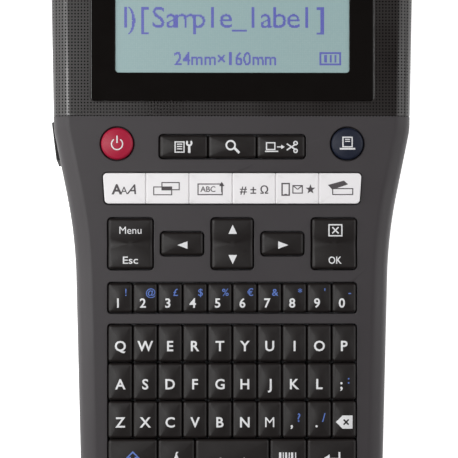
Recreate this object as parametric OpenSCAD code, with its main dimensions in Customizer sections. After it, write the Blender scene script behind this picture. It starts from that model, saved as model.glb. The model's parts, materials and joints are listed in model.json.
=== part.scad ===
// Hand-held label maker with a full keyboard, a display head and a tape cassette inside.
// X is across, +Y points to the tape exit, +Z is up out of the keys. It lies on its back at Z = 0,
// with the origin under the middle of the body. The keyboard face is a plane that rises to the head.

/* [Body] */
// Overall width, across the display head
body_w = 116; // [106:1:142]
// Overall length
body_l = 244; // [230:1:300]
// Thickness at the tape exit end
head_t = 62; // [58:1:76]
// Thickness at the grip end
foot_t = 40; // [36:1:50]
// How far the waist is narrower than the head, each side
waist_in = 7.9; // [5:0.1:10]
// How far the grip end is narrower than the head, each side
foot_in = 10.1; // [7:0.1:12]
// Place along the face where the head starts to narrow
shoulder_v = 4.3; // [2:0.1:12]
// Place along the face where the waist begins
waist_v = -29; // [-40:0.5:-24]
// Wall thickness of the shells
wall = 2.2; // [1.8:0.1:2.7]
// Rounding of the keyboard face's edge
face_r = 5.5; // [4:0.1:6]
// Rounding of the back's edge
back_r = 6; // [5:0.1:7]
// Depth of the parting line below the keyboard face
parting_d = 20; // [18:0.5:24]
// Place along the face of the seam between the head and the keyboard
seam_v = 8.3; // [8:0.1:9.5]
// Thickness of the battery and cassette panel, with the back cover's recess
floor_t = 4; // [3.6:0.1:4.8]

/* [Keyboard] */
// Height of the key tops above the face
key_up = 1.0; // [0.6:0.1:1.6]
// Depth of the key undersides
key_down = 3.5; // [3:0.1:4]
// Gap between a key and its opening
key_fit = 0.3; // [0.25:0.05:0.4]
// Gap between keys that share an opening
key_gap = 0.25; // [0.2:0.05:0.4]
// Pitch of the letter and digit columns
col_pitch = 7.9; // [6.4:0.1:8.1]
// Pitch of the letter rows
row_pitch = 12.1; // [10:0.1:12.4]
// Height of the digit keys
digit_h = 9.45; // [7.5:0.05:10.5]
// Place of the digit row's middle
digit_v = -49.6; // [-50:0.1:-49]
// Place of the first letter row's top edge
letters_v = -58; // [-59:0.1:-57.4]
// Width of the black function strip
black_w = 46.4; // [38:0.1:50]
// Height of the black function strip
black_h = 7.35; // [6:0.05:8]
// Place of the black function strip's middle
black_v = -1.53; // [-2:0.01:-1]
// Width of the white function strip
white_w = 82.5; // [70:0.1:84]
// Height of the white function strip
white_h = 9.7; // [8:0.1:10.2]
// Place of the white function strip's middle
white_v = -14.8; // [-15:0.1:-14.6]
// Diameter of the power and print keys
round_d = 10.2; // [8:0.1:11]
// Distance of the power and print keys from the middle
round_x = 36.6; // [34:0.1:38]
// Place of the cursor key row
cursor_v = -32.4; // [-32.6:0.1:-32.2]
// Height of the tall rocker keys
rocker_h = 16.2; // [13:0.1:16.4]
// Width of the outer rocker keys
rocker_w = 14.15; // [11:0.05:15]
// Width of the middle rocker key
middle_w = 13.2; // [11:0.1:14]
// Height of the left and right keys
side_key_h = 7.4; // [6:0.1:9]
// Width of the left and right keys
side_key_w = 13.4; // [11:0.1:14.5]
// Distance of the left and right keys from the middle
side_key_x = 15.95; // [15.8:0.05:16.1]
// Distance of the outer rocker keys from the middle
rocker_x = 32.35; // [32:0.05:33]

/* [Display] */
// Width of the glossy lens
lens_w = 89.8; // [80:0.1:94]
// Length of the glossy lens
lens_h = 63; // [56:0.5:66]
// Gap between the seam and the lens
lens_gap = 4.8; // [3:0.1:6]
// Thickness of the lens
lens_t = 1.5; // [1.2:0.1:1.6]
// Width of the display module
lcd_w = 84; // [76:0.5:86]
// Length of the display module
lcd_h = 54; // [48:0.5:58]
// Thickness of the display module
lcd_t = 4.4; // [3.5:0.1:5]

/* [Power] */
// Diameter of a cell
cell_d = 14.3; // [10.3:0.1:14.5]
// Length of a cell with its stud
cell_l = 50.5; // [44.5:0.1:50.5]
// Gap around each cell
cell_fit = 0.35; // [0.3:0.05:0.6]
// Wall of the battery bay
bay_wall = 1.5; // [1.2:0.1:2]

/* [Tape] */
// Width of the tape cassette
cass_w = 60; // [52:0.5:64]
// Length of the tape cassette
cass_l = 88; // [80:0.5:90]
// Thickness of the tape cassette
cass_t = 31; // [26:0.5:31]
// Width of the tape
tape_w = 24; // [18:1:24]
// Diameter of the platen roller
platen_d = 7; // [6:0.1:8]
// Gear module
gear_m = 0.8; // [0.7:0.05:0.8]
// Slack between meshing teeth
backlash = 0.16; // [0.1:0.02:0.24]
// Running clearance of a shaft in its bore, radial
run_fit = 0.05; // [0.03:0.01:0.08]

/* [Back] */
// Thickness of the back cover
cover_t = 2.2; // [1.8:0.1:2.3]
// Gap around the back cover
cover_fit = 0.3; // [0.2:0.05:0.5]
// Diameter of the casing screws
screw_d = 3; // [2.5:0.1:3.2]
// Length of a side grip
grip_l = 85; // [70:1:90]
// How far the side grips stand out of the casing
grip_out = 0.5; // [0.3:0.1:0.8]

/* [Hidden] */
$fn = 48;
big = 400;

// ---- the face plane and the outline ----
mid_t = (head_t + foot_t) / 2;
slope = (head_t - foot_t) / body_l;
tilt = atan(slope);
cos_t = cos(tilt);
end_y = body_l / 2;
side_x = body_w / 2;
head_crown = 3.8;
foot_crown = 3.4;
head_crown_r = 380;
foot_crown_r = 300;
head_a = atan(head_crown / side_x);
foot_a = atan(foot_crown / (side_x - foot_in));
head_top = end_y + head_crown_r * (1 / cos(head_a) - 1);
foot_low = -end_y - foot_crown_r * (1 / cos(foot_a) - 1);

// height of the face above the table at a given y, and a level at a depth under it
function face_z(y) = mid_t + slope * y;
function level_z(y, depth) = face_z(y) - depth / cos_t;
// y and z of a point on the face plane at v, at a depth
function deck_y(v, depth) = v * cos_t + depth * sin(tilt);
function deck_z(v, depth) = mid_t + v * sin(tilt) - depth * cos_t;

// right half of the outline, from the head's middle to the foot's, as [x, y, corner radius, steps]
half_corners = [
    [0, head_top, head_crown_r, 6],
    [side_x - 0.1, head_top - head_crown, 15, 9],
    [side_x + 0.02, end_y / 2, 600, 2],
    [side_x - 1.1, shoulder_v, 20, 4],
    [side_x - waist_in, waist_v, 150, 4],
    [side_x - foot_in, foot_low + foot_crown, 14, 9],
    [0, foot_low, foot_crown_r, 6]
];
left_corners = [for (i = [5:-1:1])
    let (c = half_corners[i])
    [-c[0], c[1], c[2], c[3]]];
corners = concat(half_corners, left_corners);

function unit(p) = p / norm(p);
function cross_z(a, b) = a[0] * b[1] - a[1] * b[0];
// points of one rounded corner, each as [x, y, normal x, normal y]
function corner_points(a, b, c, r, steps) =
    let (u = unit([a[0] - b[0], a[1] - b[1]]))
    let (w = unit([c[0] - b[0], c[1] - b[1]]))
    let (half = acos(min(1, max(-1, u * w))) / 2)
    let (centre = [b[0], b[1]] + unit(u + w) * r / sin(half))
    let (side = cross_z(u, w) > 0 ? 1 : -1)
    let (first = [b[0], b[1]] + u * (r / tan(half)) - centre)
    let (start = atan2(first[1], first[0]))
    [for (i = [0:steps])
        let (t = start - side * (180 - 2 * half) * i / steps)
        [centre[0] + r * cos(t), centre[1] + r * sin(t), side * cos(t), side * sin(t)]];
outline = [for (i = [0:len(corners) - 1])
    each corner_points(corners[(i + len(corners) - 1) % len(corners)], corners[i],
        corners[(i + 1) % len(corners)], corners[i][2], corners[i][3])];
function inset_points(d) = [for (p = outline) [p[0] - d * p[2], p[1] - d * p[3]]];

// x of the right-hand side of the outline at a given y
function right_x(y) = max([for (i = [0:len(outline) - 1])
    let (p = outline[i])
    let (q = outline[(i + 1) % len(outline)])
    (p[0] > 0 && (p[1] - y) * (q[1] - y) <= 0 && p[1] != q[1]) ?
        p[0] + (q[0] - p[0]) * (y - p[1]) / (q[1] - p[1]) : 0]);

// a rounded rectangle's points, and a polygon's prism between two depths under the face
function rounded(w, h, r, n = 4) = [for (k = [0:3]) for (i = [0:n])
    let (a = 90 * k + 90 * i / n)
    let (sx = (k == 0 || k == 3) ? 1 : -1)
    let (sy = k < 2 ? 1 : -1)
    [sx * (w / 2 - r) + r * cos(a), sy * (h / 2 - r) + r * sin(a)]];

module on_face() {
    translate([0, 0, mid_t]) rotate([tilt, 0, 0]) children();
}
module prism(points, depth_top, depth_bottom) {
    translate([0, 0, -depth_bottom]) linear_extrude(depth_bottom - depth_top) polygon(points);
}
module slab(x0, x1, y0, y1, z0, z1) {
    translate([x0, y0, z0]) cube([x1 - x0, y1 - y0, z1 - z0]);
}
module rod(x, y, z0, z1, d) {
    translate([x, y, z0]) cylinder(d = d, h = z1 - z0);
}
module rod_x(x0, x1, y, z, d) {
    translate([x0, y, z]) rotate([0, 90, 0]) cylinder(d = d, h = x1 - x0);
}

// closed skin through rings of the outline: each ring is [inset, z, follows the face (1) or not (0)]
module skin(rings) {
    n = len(outline);
    m = len(rings);
    points = [for (ring = rings) for (p = outline)
        let (x = p[0] - ring[0] * p[2])
        let (y = p[1] - ring[0] * p[3])
        [x, y, ring[2] == 1 ? level_z(y, ring[1]) : ring[1]]];
    sides = [for (j = [0:m - 2]) for (i = [0:n - 1])
        let (a = j * n + i)
        let (b = j * n + (i + 1) % n)
        each [[a, b, b + n], [a, b + n, a + n]]];
    bottom = [[for (i = [n - 1:-1:0]) i]];
    top = [[for (i = [0:n - 1]) (m - 1) * n + i]];
    polyhedron(points, concat(bottom, sides, top));
}
back_steps = 4;
face_steps = 4;
function back_rings() = [for (i = [0:back_steps])
    let (a = 90 * i / back_steps)
    [back_r * (1 - sin(a)), back_r * (1 - cos(a)), 0]];
function face_rings() = [for (i = [0:face_steps])
    let (a = 90 * i / face_steps)
    [face_r * (1 - cos(a)), face_r * (1 - sin(a)), 1]];
module below_parting() {
    on_face() slab(-big, big, -big, big, -big, -parting_d);
}

// ---- places ----
// back cover: hinge bead across the foot, recess edge and catch
cover_in = 9;
bead_y = -end_y + 11;
bead_z = cover_t / 2;
bead_half = side_x - foot_in - 16;
bead_gap = 0.3;
panel_z = cover_t + 0.2;
pin_d = 1.4;
pin_l = 1.8;
lip_y = end_y - cover_in - cover_fit - 0.2;
catch_w = 12;
catch_t = 1.3;
hook_l = 1.5;
catch_z = 8;
latch_travel = 2;
latch_w = 16;
latch_t = 1.8;

// battery bay, up against the hinge
bay_y0 = bead_y + 1.5;
spring_l = 3.5;
spring_turns = 5;
plate_t = 0.5;
bay_l = 2 * cell_l + spring_l + 2 * plate_t;
bay_y1 = bay_y0 + bay_l;
cell_pitch = cell_d + 2 * cell_fit;
bay_half = 1.5 * cell_pitch;
cell_z = panel_z + 0.8 + cell_d / 2;
bay_top = cell_z + cell_d / 2 + cell_fit;

// cassette, print gap and gears
cass_fit = 0.5;
cass_y1 = end_y - 16.5;
cass_y0 = cass_y1 - cass_l;
cass_z0 = panel_z + 0.4;
cass_z1 = cass_z0 + cass_t;
notch_x = -cass_w / 2 + 13;
notch_y0 = cass_y0 + 38;
notch_y1 = notch_y0 + 38;
platen_x = -cass_w / 2 - 0.5;
platen_y = cass_y0 + 60;
tape_x = platen_x + platen_d / 2 + 0.15;
plate_z0 = cass_z1 + 0.6;
plate_z1 = plate_z0 + 1.5;
gear_z = plate_z1 + 0.4;
gear_t = 2;
drive_n = 50;
pinion_n = 12;
platen_n = 14;
ribbon_n = 24;
function pitch_r(n) = gear_m * n / 2;
// The drive gear sits straight below the platen along y; the motor and the ribbon mesh beside it.
platen_dir = 88.6;
// The motor moves round the gear, away from the side wall, where a thick wall leaves it no room.
motor_d = 20;
motor_room = side_x - wall - 0.8 - motor_d / 2;
pinion_reach = pitch_r(drive_n) + pitch_r(pinion_n);
ribbon_dir = 10;
drive_x = platen_x - cos(platen_dir) * (pitch_r(drive_n) + pitch_r(platen_n));
drive_y = platen_y - sin(platen_dir) * (pitch_r(drive_n) + pitch_r(platen_n));
pinion_dir = max(236, 180 + acos(min(1, (drive_x + motor_room) / pinion_reach)));
motor_x = drive_x + cos(pinion_dir) * pinion_reach;
motor_y = drive_y + sin(pinion_dir) * pinion_reach;
ribbon_x = drive_x + cos(ribbon_dir) * (pitch_r(drive_n) + pitch_r(ribbon_n));
ribbon_y = drive_y + sin(ribbon_dir) * (pitch_r(drive_n) + pitch_r(ribbon_n));
motor_l = 25;
roll_x = cass_w / 2 - 21;
roll_y = cass_y1 - 22;
roll_d = 36;
core_d = 13;
core_bore = 9;
roll_wall = 1.6;
axle_d = 3;
stud_d = 4;
spindle_d = 6;
arm_x = platen_x + 10;
arm_y = notch_y0 + 5;
arm_open_gap = 0.6;
cutter_y = cass_y1 + 5.2;
cutter_t = 1.2;
exit_w = 4.8;
exit_z0 = cass_z0 + 2;
exit_z1 = exit_z0 + tape_w + 3.4;
leg_d = 5;
leg_left = -side_x + 8;
leg_right = cass_w / 2 + 5;
leg_y0 = cass_y0 - 1;
leg_y1 = cass_y1 - 7;
board_z = gear_z + gear_t + 3.6;
board_t = 1.6;

// casing screws as [x, y], in pairs
boss_d = 7;
neck_d = 3.7;
boss_v = (cursor_v - rocker_h / 2 + digit_v + digit_h / 2) / 2;
screw_places = [
    [side_x - 13.5, end_y - 16.5],
    [side_x - waist_in - 14.3, deck_y(boss_v, key_down)],
    [bead_half + 1.1, bead_y + 2.9]
];
screw_xy = [for (p = screw_places) for (s = [-1, 1]) [s * p[0], p[1]]];
head_d = 5.6;
head_h = 1.4;
screw_bite = 7;

// keyboard block
block_w = 10 * col_pitch;
letters_v1 = letters_v - 4 * row_pitch;
mat_d = key_down + 1;
mat_t = 1.4;
pad_d = mat_d + mat_t;
pad_t = 1.6;
mat_half = max(block_w / 2, white_w / 2) + 1;
pad_half = mat_half + 0.9;
mat_v0 = letters_v1 - 0.6;
mat_v1 = black_v + black_h / 2 + 3.6;

// keys as [name, x, v, width, height, corner radius]
black_names = ["setup_key", "preview_key", "feed_cut_key"];
white_names = ["font_key", "frame_key", "label_key", "symbol_key", "template_key", "file_key"];
bottom_names = ["shift_key", "accent_key", "space_key", "barcode_key", "enter_key"];
bottom_units = [2, 1.5, 3, 1.5, 2];
function sum_to(list, n) = n <= 0 ? 0 : list[n - 1] + sum_to(list, n - 1);
black_keys = [for (i = [0:2])
    [black_names[i], (i - 1) * black_w / 3, black_v, black_w / 3 - key_gap, black_h, 0.8]];
digit_keys = [for (i = [0:9])
    [str("digit_", (i + 1) % 10, "_key"), (i - 4.5) * col_pitch, digit_v, col_pitch - key_gap, digit_h, 0.6]];
bottom_keys = [for (i = [0:4])
    let (u0 = sum_to(bottom_units, i))
    [bottom_names[i], (u0 + bottom_units[i] / 2 - 5) * col_pitch, letters_v - 3.5 * row_pitch,
        bottom_units[i] * col_pitch - key_gap, row_pitch - key_gap, 0.6]];
letter_keys_xy = [for (row = [0:2]) for (i = [0:9])
    [(i - 4.5) * col_pitch, letters_v - (row + 0.5) * row_pitch]];
side_keys = [
    ["left_key", -side_key_x, cursor_v, side_key_w, side_key_h, 1.2],
    ["right_key", side_key_x, cursor_v, side_key_w, side_key_h, 1.2]
];
rocker_keys = [
    ["menu_esc_key", -rocker_x, cursor_v, rocker_w, rocker_h, 1.2],
    ["up_down_key", 0, cursor_v, middle_w, rocker_h, 1.2],
    ["clear_ok_key", rocker_x, cursor_v, rocker_w, rocker_h, 1.2]
];
plain_keys = concat(black_keys, digit_keys, bottom_keys, side_keys);

base_nodes = ["front_casing", "head_fascia", "display_lens", "lcd_module", "rear_casing", "back_cover",
    "cover_latch", "grip_left", "grip_right", "port_flap", "casing_screws", "main_board", "port_sockets",
    "keypad_mat", "keypad_board", "battery_cells", "battery_contacts", "mech_chassis", "print_head",
    "head_arm", "platen_roller", "drive_motor", "motor_pinion", "drive_gear", "ribbon_spindle",
    "cutter_blade", "tape_cassette", "tape_roll"];

// ---- shells ----
module front_outer() {
    skin(concat([[0, parting_d, 1]], face_rings()));
}
// inside of the front shell, stepped so that the wall keeps its thickness under the rounded edge
module front_inner() {
    skin([[wall, parting_d + 1, 1], [wall, face_r, 1]]);
    skin([[wall + 1.2, face_r + 0.5, 1], [wall + 1.2, wall, 1]]);
}
module key_openings() {
    grow = 2 * key_fit;
    for (s = [-1, 1]) translate([s * round_x, -0.6, -wall - 1]) cylinder(d = round_d + grow, h = wall + 3);
    for (k = concat(rocker_keys, side_keys)) translate([k[1], k[2], 0])
        prism(rounded(k[3] + grow, k[4] + grow, 1.4), -1, wall + 1);
    translate([0, black_v, 0]) prism(rounded(black_w - key_gap + grow, black_h + grow, 1.3), -1, wall + 1);
    translate([0, white_v, 0]) prism(white_outline(-1, 6, key_fit), -1, wall + 1);
    translate([0, digit_v, 0]) prism(rounded(block_w - key_gap + grow, digit_h + grow, 1), -1, wall + 1);
    translate([0, (letters_v + letters_v1) / 2, 0])
        prism(rounded(block_w - key_gap + grow, 4 * row_pitch - key_gap + grow, 1), -1, wall + 1);
}
// front bosses hang from the face; above the key mat they are only a thin neck
module front_boss(x, y) {
    intersection() {
        union() {
            rod(x, y, 0, big / 4, neck_d);
            intersection() {
                rod(x, y, 0, big / 4, boss_d);
                on_face() slab(-big, big, -big, big, -parting_d, -mat_d + 0.2);
            }
        }
        on_face() slab(-big, big, -big, big, -parting_d, -wall / 2);
    }
}
module screw_hole(x, y) {
    rod(x, y, 0, level_z(y, parting_d) + screw_bite + 1, screw_d);
}
module front_casing() {
    color("#4a494c") difference() {
        union() {
            difference() {
                intersection() {
                    front_outer();
                    on_face() slab(-big, big, -big, seam_v, -big, big);
                }
                front_inner();
            }
            for (i = [2:5]) front_boss(screw_xy[i][0], screw_xy[i][1]);
            // ribs that the keypad board hangs on
            for (s = [-1, 1]) on_face() slab(s * (mat_half + 0.6) - 0.3, s * (mat_half + 0.6) + 0.3,
                letters_v1 + 4, cursor_v, -pad_d, -wall / 2);
        }
        on_face() key_openings();
        for (i = [2:5]) screw_hole(screw_xy[i][0], screw_xy[i][1]);
    }
}
lens_v0 = seam_v + lens_gap;
lens_v1 = lens_v0 + lens_h;
lcd_v0 = lens_v0 + 3.5;
lens_fit = 0.1;
module head_fascia() {
    color("#3a3638") difference() {
        union() {
            difference() {
                intersection() {
                    front_outer();
                    on_face() slab(-big, big, seam_v, big, -big, big);
                }
                front_inner();
            }
            for (i = [0:1]) front_boss(screw_xy[i][0], screw_xy[i][1]);
            // ribs that frame the display module
            for (s = [-1, 1]) on_face() slab(s * (lcd_w / 2 + 0.9) - 0.7, s * (lcd_w / 2 + 0.9) + 0.7,
                lcd_v0 + 4, lcd_v0 + lcd_h - 4, -wall - lcd_t, -wall / 2);
        }
        on_face() translate([0, (lens_v0 + lens_v1) / 2, 0])
            prism(rounded(lens_w + 2 * lens_fit, lens_h + 2 * lens_fit, 1.2), -1, lens_t);
        on_face() translate([0, lcd_v0 + lcd_h / 2, 0])
            prism(rounded(lcd_w - 5, lcd_h - 5, 1), 0, wall + 1);
        for (i = [0:1]) screw_hole(screw_xy[i][0], screw_xy[i][1]);
    }
}
module display_lens() {
    color("#0c0704") on_face() translate([0, (lens_v0 + lens_v1) / 2, 0])
        prism(rounded(lens_w, lens_h, 1.1), 0, lens_t);
}
module lcd_module() {
    color("#98b2b2") on_face() {
        translate([0, lcd_v0 + lcd_h / 2, 0]) prism(rounded(lcd_w, lcd_h, 1), wall, wall + lcd_t);
        translate([0, lcd_v0 + lcd_h / 2, 0])
            prism(rounded(lcd_w - 6, lcd_h - 6, 0.6), lens_t + 0.1, wall + 0.1);
    }
}

// opening for the port flap, in a frame on the left wall that faces out along -X
port_v = 3.3;
port_l = 12.7;
port_z0 = 9;
port_h = 18;
port_wall_x = right_x(port_v);
port_turn = atan((right_x(port_v + port_l / 2) - right_x(port_v - port_l / 2)) / port_l);
flap_out = 1.1;
flap_in = 0.9;
flap_t = flap_out + flap_in;
flap_fit = 0.2;
flap_r = flap_t / 2;
module at_port() {
    translate([-port_wall_x, port_v, port_z0]) rotate([0, 0, port_turn]) children();
}
module port_window() {
    at_port() {
        slab(-5, flap_in + 0.05, -port_l / 2 - flap_fit, port_l / 2 + flap_fit, -flap_fit, port_h + flap_fit);
        slab(-5, 8, -port_l / 2 + 1.5, port_l / 2 - 1.5, 2.6, port_h - 1.4);
    }
}
module port_flap() {
    color("#2e2b2d") at_port() {
        slab(-flap_out, flap_in, -port_l / 2, port_l / 2, flap_r, port_h);
        translate([flap_in - flap_r, -port_l / 2, flap_r]) rotate([-90, 0, 0]) cylinder(r = flap_r, h = port_l);
    }
}

// plan of the cover or of its recess: the outline set in, cut straight short of the hinge bead
module cover_plan(d, cut) {
    intersection() {
        polygon(inset_points(d));
        translate([-big, bead_y + cut]) square([2 * big, big]);
    }
}
module cover_recess() {
    translate([0, 0, -1]) linear_extrude(1 + panel_z) cover_plan(cover_in, 1.5);
    slab(-bead_half - 0.25, bead_half + 0.25, bead_y - bead_z - bead_gap, bead_y + 2, -1, panel_z);
    rod_x(-bead_half - pin_l - 0.3, bead_half + pin_l + 0.3, bead_y, bead_z, pin_d + 2 * run_fit);
}
module cassette_plan(grow) {
    difference() {
        translate([-cass_w / 2 - grow, cass_y0 - grow]) square([cass_w + 2 * grow, cass_l + 2 * grow]);
        translate([-big, notch_y0 + grow]) square([big + notch_x - grow, notch_y1 - notch_y0 - 2 * grow]);
    }
}
module grip_band(side, inner, outer) {
    y1 = waist_v + 14;
    pts = [for (p = outline) if (p[0] * side > 0 && p[1] < y1 && p[1] > y1 - grip_l && p[2] * side > 0.9) p];
    n = len(pts);
    // the band's two ends are cut square, so both ends take a point of their own
    ys = [for (p = pts) p[1]];
    top_p = [side * right_x(y1), y1, side, 0];
    low_p = [side * right_x(y1 - grip_l), y1 - grip_l, side, 0];
    mids = side > 0 ? pts : [for (i = [n - 1:-1:0]) pts[i]];
    row = concat([top_p], mids, [low_p]);
    points = concat([for (p = row) [p[0] + outer * p[2], p[1] + outer * p[3]]],
        [for (i = [len(row) - 1:-1:0]) [row[i][0] - inner * row[i][2], row[i][1] - inner * row[i][3]]]);
    intersection() {
        translate([0, 0, grip_z0]) linear_extrude(big / 4) polygon(points);
        on_face() slab(-big, big, -big, big, -big, -parting_d - 1.6);
    }
}
grip_z0 = 8;
grip_deep = 0.9;
module grip_left() {
    color("#1d1b1c") grip_band(-1, grip_deep, grip_out);
}
module grip_right() {
    color("#1d1b1c") grip_band(1, grip_deep, grip_out);
}
// boards, ribs and openings of the rear shell
module battery_bay() {
    slab(-bay_half - bay_wall, bay_half + bay_wall, bay_y0 - bay_wall, bay_y1 + bay_wall,
        floor_t - 0.5, bay_top + bay_wall);
}
module rear_casing() {
    color("#2f2d2f") difference() {
        union() {
            difference() {
                intersection() {
                    skin(concat(back_rings(), [[0, parting_d - 1, 1]]));
                    below_parting();
                }
                translate([0, 0, floor_t]) linear_extrude(big / 4) polygon(inset_points(wall));
            }
            battery_bay();
            for (p = screw_xy) intersection() {
                rod(p[0], p[1], floor_t - 0.5, big / 4, boss_d);
                below_parting();
            }
        }
        cover_recess();
        slab(-bay_half, bay_half, bay_y0, bay_y1, -1, bay_top);
        translate([0, 0, -1]) linear_extrude(floor_t + 2) cassette_plan(cass_fit);
        for (p = screw_xy) {
            rod(p[0], p[1], -1, big / 4, screw_d + 0.4);
            rod(p[0], p[1], -1, panel_z + head_h + 0.1, head_d + 0.4);
        }
        // bearings of the platen, and of the head arm
        rod(platen_x, platen_y, -1, floor_t + 1, axle_d + 2 * run_fit);
        rod(arm_x, arm_y, -1, floor_t + 1, axle_d + 2 * run_fit);
        // tape exit, cover catch and latch button
        slab(tape_x - exit_w / 2, tape_x + exit_w / 2, cutter_y + 4, end_y + 5, exit_z0, exit_z1);
        slab(-catch_w / 2 - 0.6, catch_w / 2 + 0.6, lip_y - catch_t - hook_l - 1, lip_y + 1,
            panel_z - 1, floor_t + 1);
        slab(-latch_w / 2 - 0.3, latch_w / 2 + 0.3, end_y - 8, end_y + 5, catch_z - 2.1, catch_z + 6.3);
        port_window();
        grip_band(-1, grip_deep, grip_out + 1);
        grip_band(1, grip_deep, grip_out + 1);
    }
}
module back_cover() {
    color("#343234") {
        linear_extrude(cover_t) cover_plan(cover_in + cover_fit, 2.1);
        slab(-bead_half, bead_half, bead_y, bead_y + 2.5, 0, cover_t);
        rod_x(-bead_half, bead_half, bead_y, bead_z, cover_t);
        rod_x(-bead_half - pin_l, bead_half + pin_l, bead_y, bead_z, pin_d);
        slab(-catch_w / 2, catch_w / 2, lip_y - catch_t, lip_y, cover_t - 0.5, catch_z);
        slab(-catch_w / 2, catch_w / 2, lip_y - catch_t - hook_l, lip_y - catch_t + 0.1, catch_z - 1.5, catch_z);
    }
}
// The latch is a frame round the catch; its bar lies just short of the hook and moves away when pressed.
latch_z0 = floor_t;
latch_y0 = lip_y - catch_t - hook_l - 0.1 - latch_t;
module cover_latch() {
    color("#262426") {
        slab(-latch_w / 2, latch_w / 2, latch_y0, latch_y0 + latch_t, latch_z0, latch_z0 + latch_t);
        for (s = [-1, 1]) slab(s * (latch_w / 2 - 0.75) - 0.75, s * (latch_w / 2 - 0.75) + 0.75,
            latch_y0, end_y - 5.5, latch_z0, latch_z0 + latch_t);
        slab(-latch_w / 2, latch_w / 2, end_y - 6.2, end_y - 0.15, catch_z - 1.8, catch_z + 6);
        slab(-latch_w / 2, latch_w / 2, end_y - 7.2, end_y - 5.5, latch_z0, catch_z + 6);
    }
}
module casing_screws() {
    color("#8d8f92") for (p = screw_xy) {
        rod(p[0], p[1], panel_z + 0.1, panel_z + 0.1 + head_h, head_d);
        rod(p[0], p[1], panel_z + head_h, level_z(p[1], parting_d) + screw_bite, screw_d);
    }
}

// ---- keyboard ----
module key_body(w, h, r) {
    prism(rounded(w, h, r), -key_up * 0.55, key_down);
    prism(rounded(w - 0.7, h - 0.7, max(0.2, r - 0.35)), -key_up, -key_up * 0.55 + 0.1);
}
module simple_key(k) {
    color("#232022") on_face() translate([k[1], k[2], 0]) key_body(k[3], k[4], k[5]);
}
// a rocker: the middle of its top dips, as a saddle across the key
module rocker_key(k) {
    color("#232022") on_face() translate([k[1], k[2], 0]) difference() {
        key_body(k[3], k[4], k[5]);
        translate([-k[3], 0, 18.2 + key_up - 1.0]) rotate([0, 90, 0]) cylinder(r = 18, h = 2 * k[3], $fn = 96);
    }
}
module round_key(side) {
    color(side < 0 ? "#b02a48" : "#39405a") on_face() translate([side * round_x, -0.6, -key_down]) {
        cylinder(d = round_d, h = key_down + key_up * 0.5);
        cylinder(d = round_d - 1, h = key_down + key_up * 0.9);
    }
}
// a stretch of the white strip, whose two ends lean in towards the foot
white_lean = 0.65;
function white_x(i, v) = (i / 6 - 0.5) * white_w - (i == 0 ? -1 : i == 6 ? 1 : 0) * white_lean
    * (0.5 - v / white_h);
function white_outline(from, to, grow) =
    let (i0 = max(0, from))
    let (g0 = from < 0 ? -grow : key_gap / 2)
    let (g1 = from < 0 ? grow : -key_gap / 2)
    let (h = white_h / 2 + (from < 0 ? grow : 0))
    [[white_x(i0, -h) + g0, -h], [white_x(to, -h) + g1, -h], [white_x(to, h) + g1, h], [white_x(i0, h) + g0, h]];
module white_key(i) {
    color("#e4e1e3") on_face() translate([0, white_v, 0]) prism(white_outline(i, i + 1, 0), -key_up, key_down);
}
module letter_keys() {
    color("#232022") on_face() for (p = letter_keys_xy) translate([p[0], p[1], 0])
        key_body(col_pitch - key_gap, row_pitch - key_gap, 0.6);
}
// one rubber sheet with a pad under each key
module mat_pad(x, v, w, h) {
    translate([x, v, -mat_d - 0.2]) linear_extrude(mat_d - key_down + 0.2) square([w, h], center = true);
}
module keypad_mat() {
    color("#6a6c70") difference() {
        on_face() {
            slab(-mat_half, mat_half, mat_v0, mat_v1, -mat_d - mat_t, -mat_d);
            for (k = plain_keys) mat_pad(k[1], k[2], min(k[3] - 3, 6), 4);
            for (p = letter_keys_xy) mat_pad(p[0], p[1], 4, 5);
            for (i = [0:5]) mat_pad((i - 2.5) * white_w / 6, white_v, 6, 4);
            for (k = rocker_keys) for (s = [-1, 1]) mat_pad(k[1], k[2] + s * (k[4] / 2 - 3), 5, 3);
            for (s = [-1, 1]) mat_pad(s * round_x, -0.6, 4, 4);
        }
        for (i = [2:5]) rod(screw_xy[i][0], screw_xy[i][1], 0, big / 4, boss_d + 0.8);
    }
}
module keypad_board() {
    color("#2d5a3a") difference() {
        on_face() slab(-pad_half, pad_half, mat_v0 - 0.5, mat_v1 + 0.5, -pad_d - pad_t, -pad_d);
        for (i = [2:5]) rod(screw_xy[i][0], screw_xy[i][1], 0, big / 4, boss_d + 0.8);
    }
}

// ---- power ----
stud_h = 1;
module battery_cells() {
    for (c = [-1, 0, 1]) for (row = [0, 1]) {
        flip = c == 0 ? 1 : 0;
        y0 = bay_y0 + plate_t + (flip == 0 ? spring_l : 0) + row * cell_l;
        color("#a87c3c") translate([c * cell_pitch, y0 + (flip == 1 ? stud_h : 0), cell_z])
            rotate([-90, 0, 0]) cylinder(d = cell_d, h = cell_l - stud_h);
        color("#c8c8cc") translate([c * cell_pitch, y0 + (flip == 1 ? 0 : cell_l - stud_h - 0.2), cell_z])
            rotate([-90, 0, 0]) cylinder(d = 5.3, h = stud_h + 0.2);
    }
}
module battery_contacts() {
    color("#b9babd") for (c = [-1, 0, 1]) {
        flip = c == 0 ? -1 : 1;
        for (s = [-1, 1]) {
            y_wall = s < 0 ? bay_y0 : bay_y1 - plate_t;
            translate([c * cell_pitch - 5, y_wall, cell_z - 5]) cube([10, plate_t, 10]);
        }
        // spring on the flat end of each column, a tight stack of rings that narrows to the cell
        s = -flip;
        face_y = s < 0 ? bay_y0 + plate_t : bay_y1 - plate_t;
        turn_l = spring_l / spring_turns;
        for (i = [0:spring_turns - 1]) translate([c * cell_pitch, face_y - s * i * turn_l, cell_z])
            rotate([s * 90, 0, 0]) difference() {
                cylinder(d = 8 - i * 0.7, h = turn_l);
                translate([0, 0, -1]) cylinder(d = 5 - i * 0.7, h = 3);
            }
    }
}

// ---- print mechanism ----
pressure = 25;
function inv(a) = tan(a) * 180 / PI - a;
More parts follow.
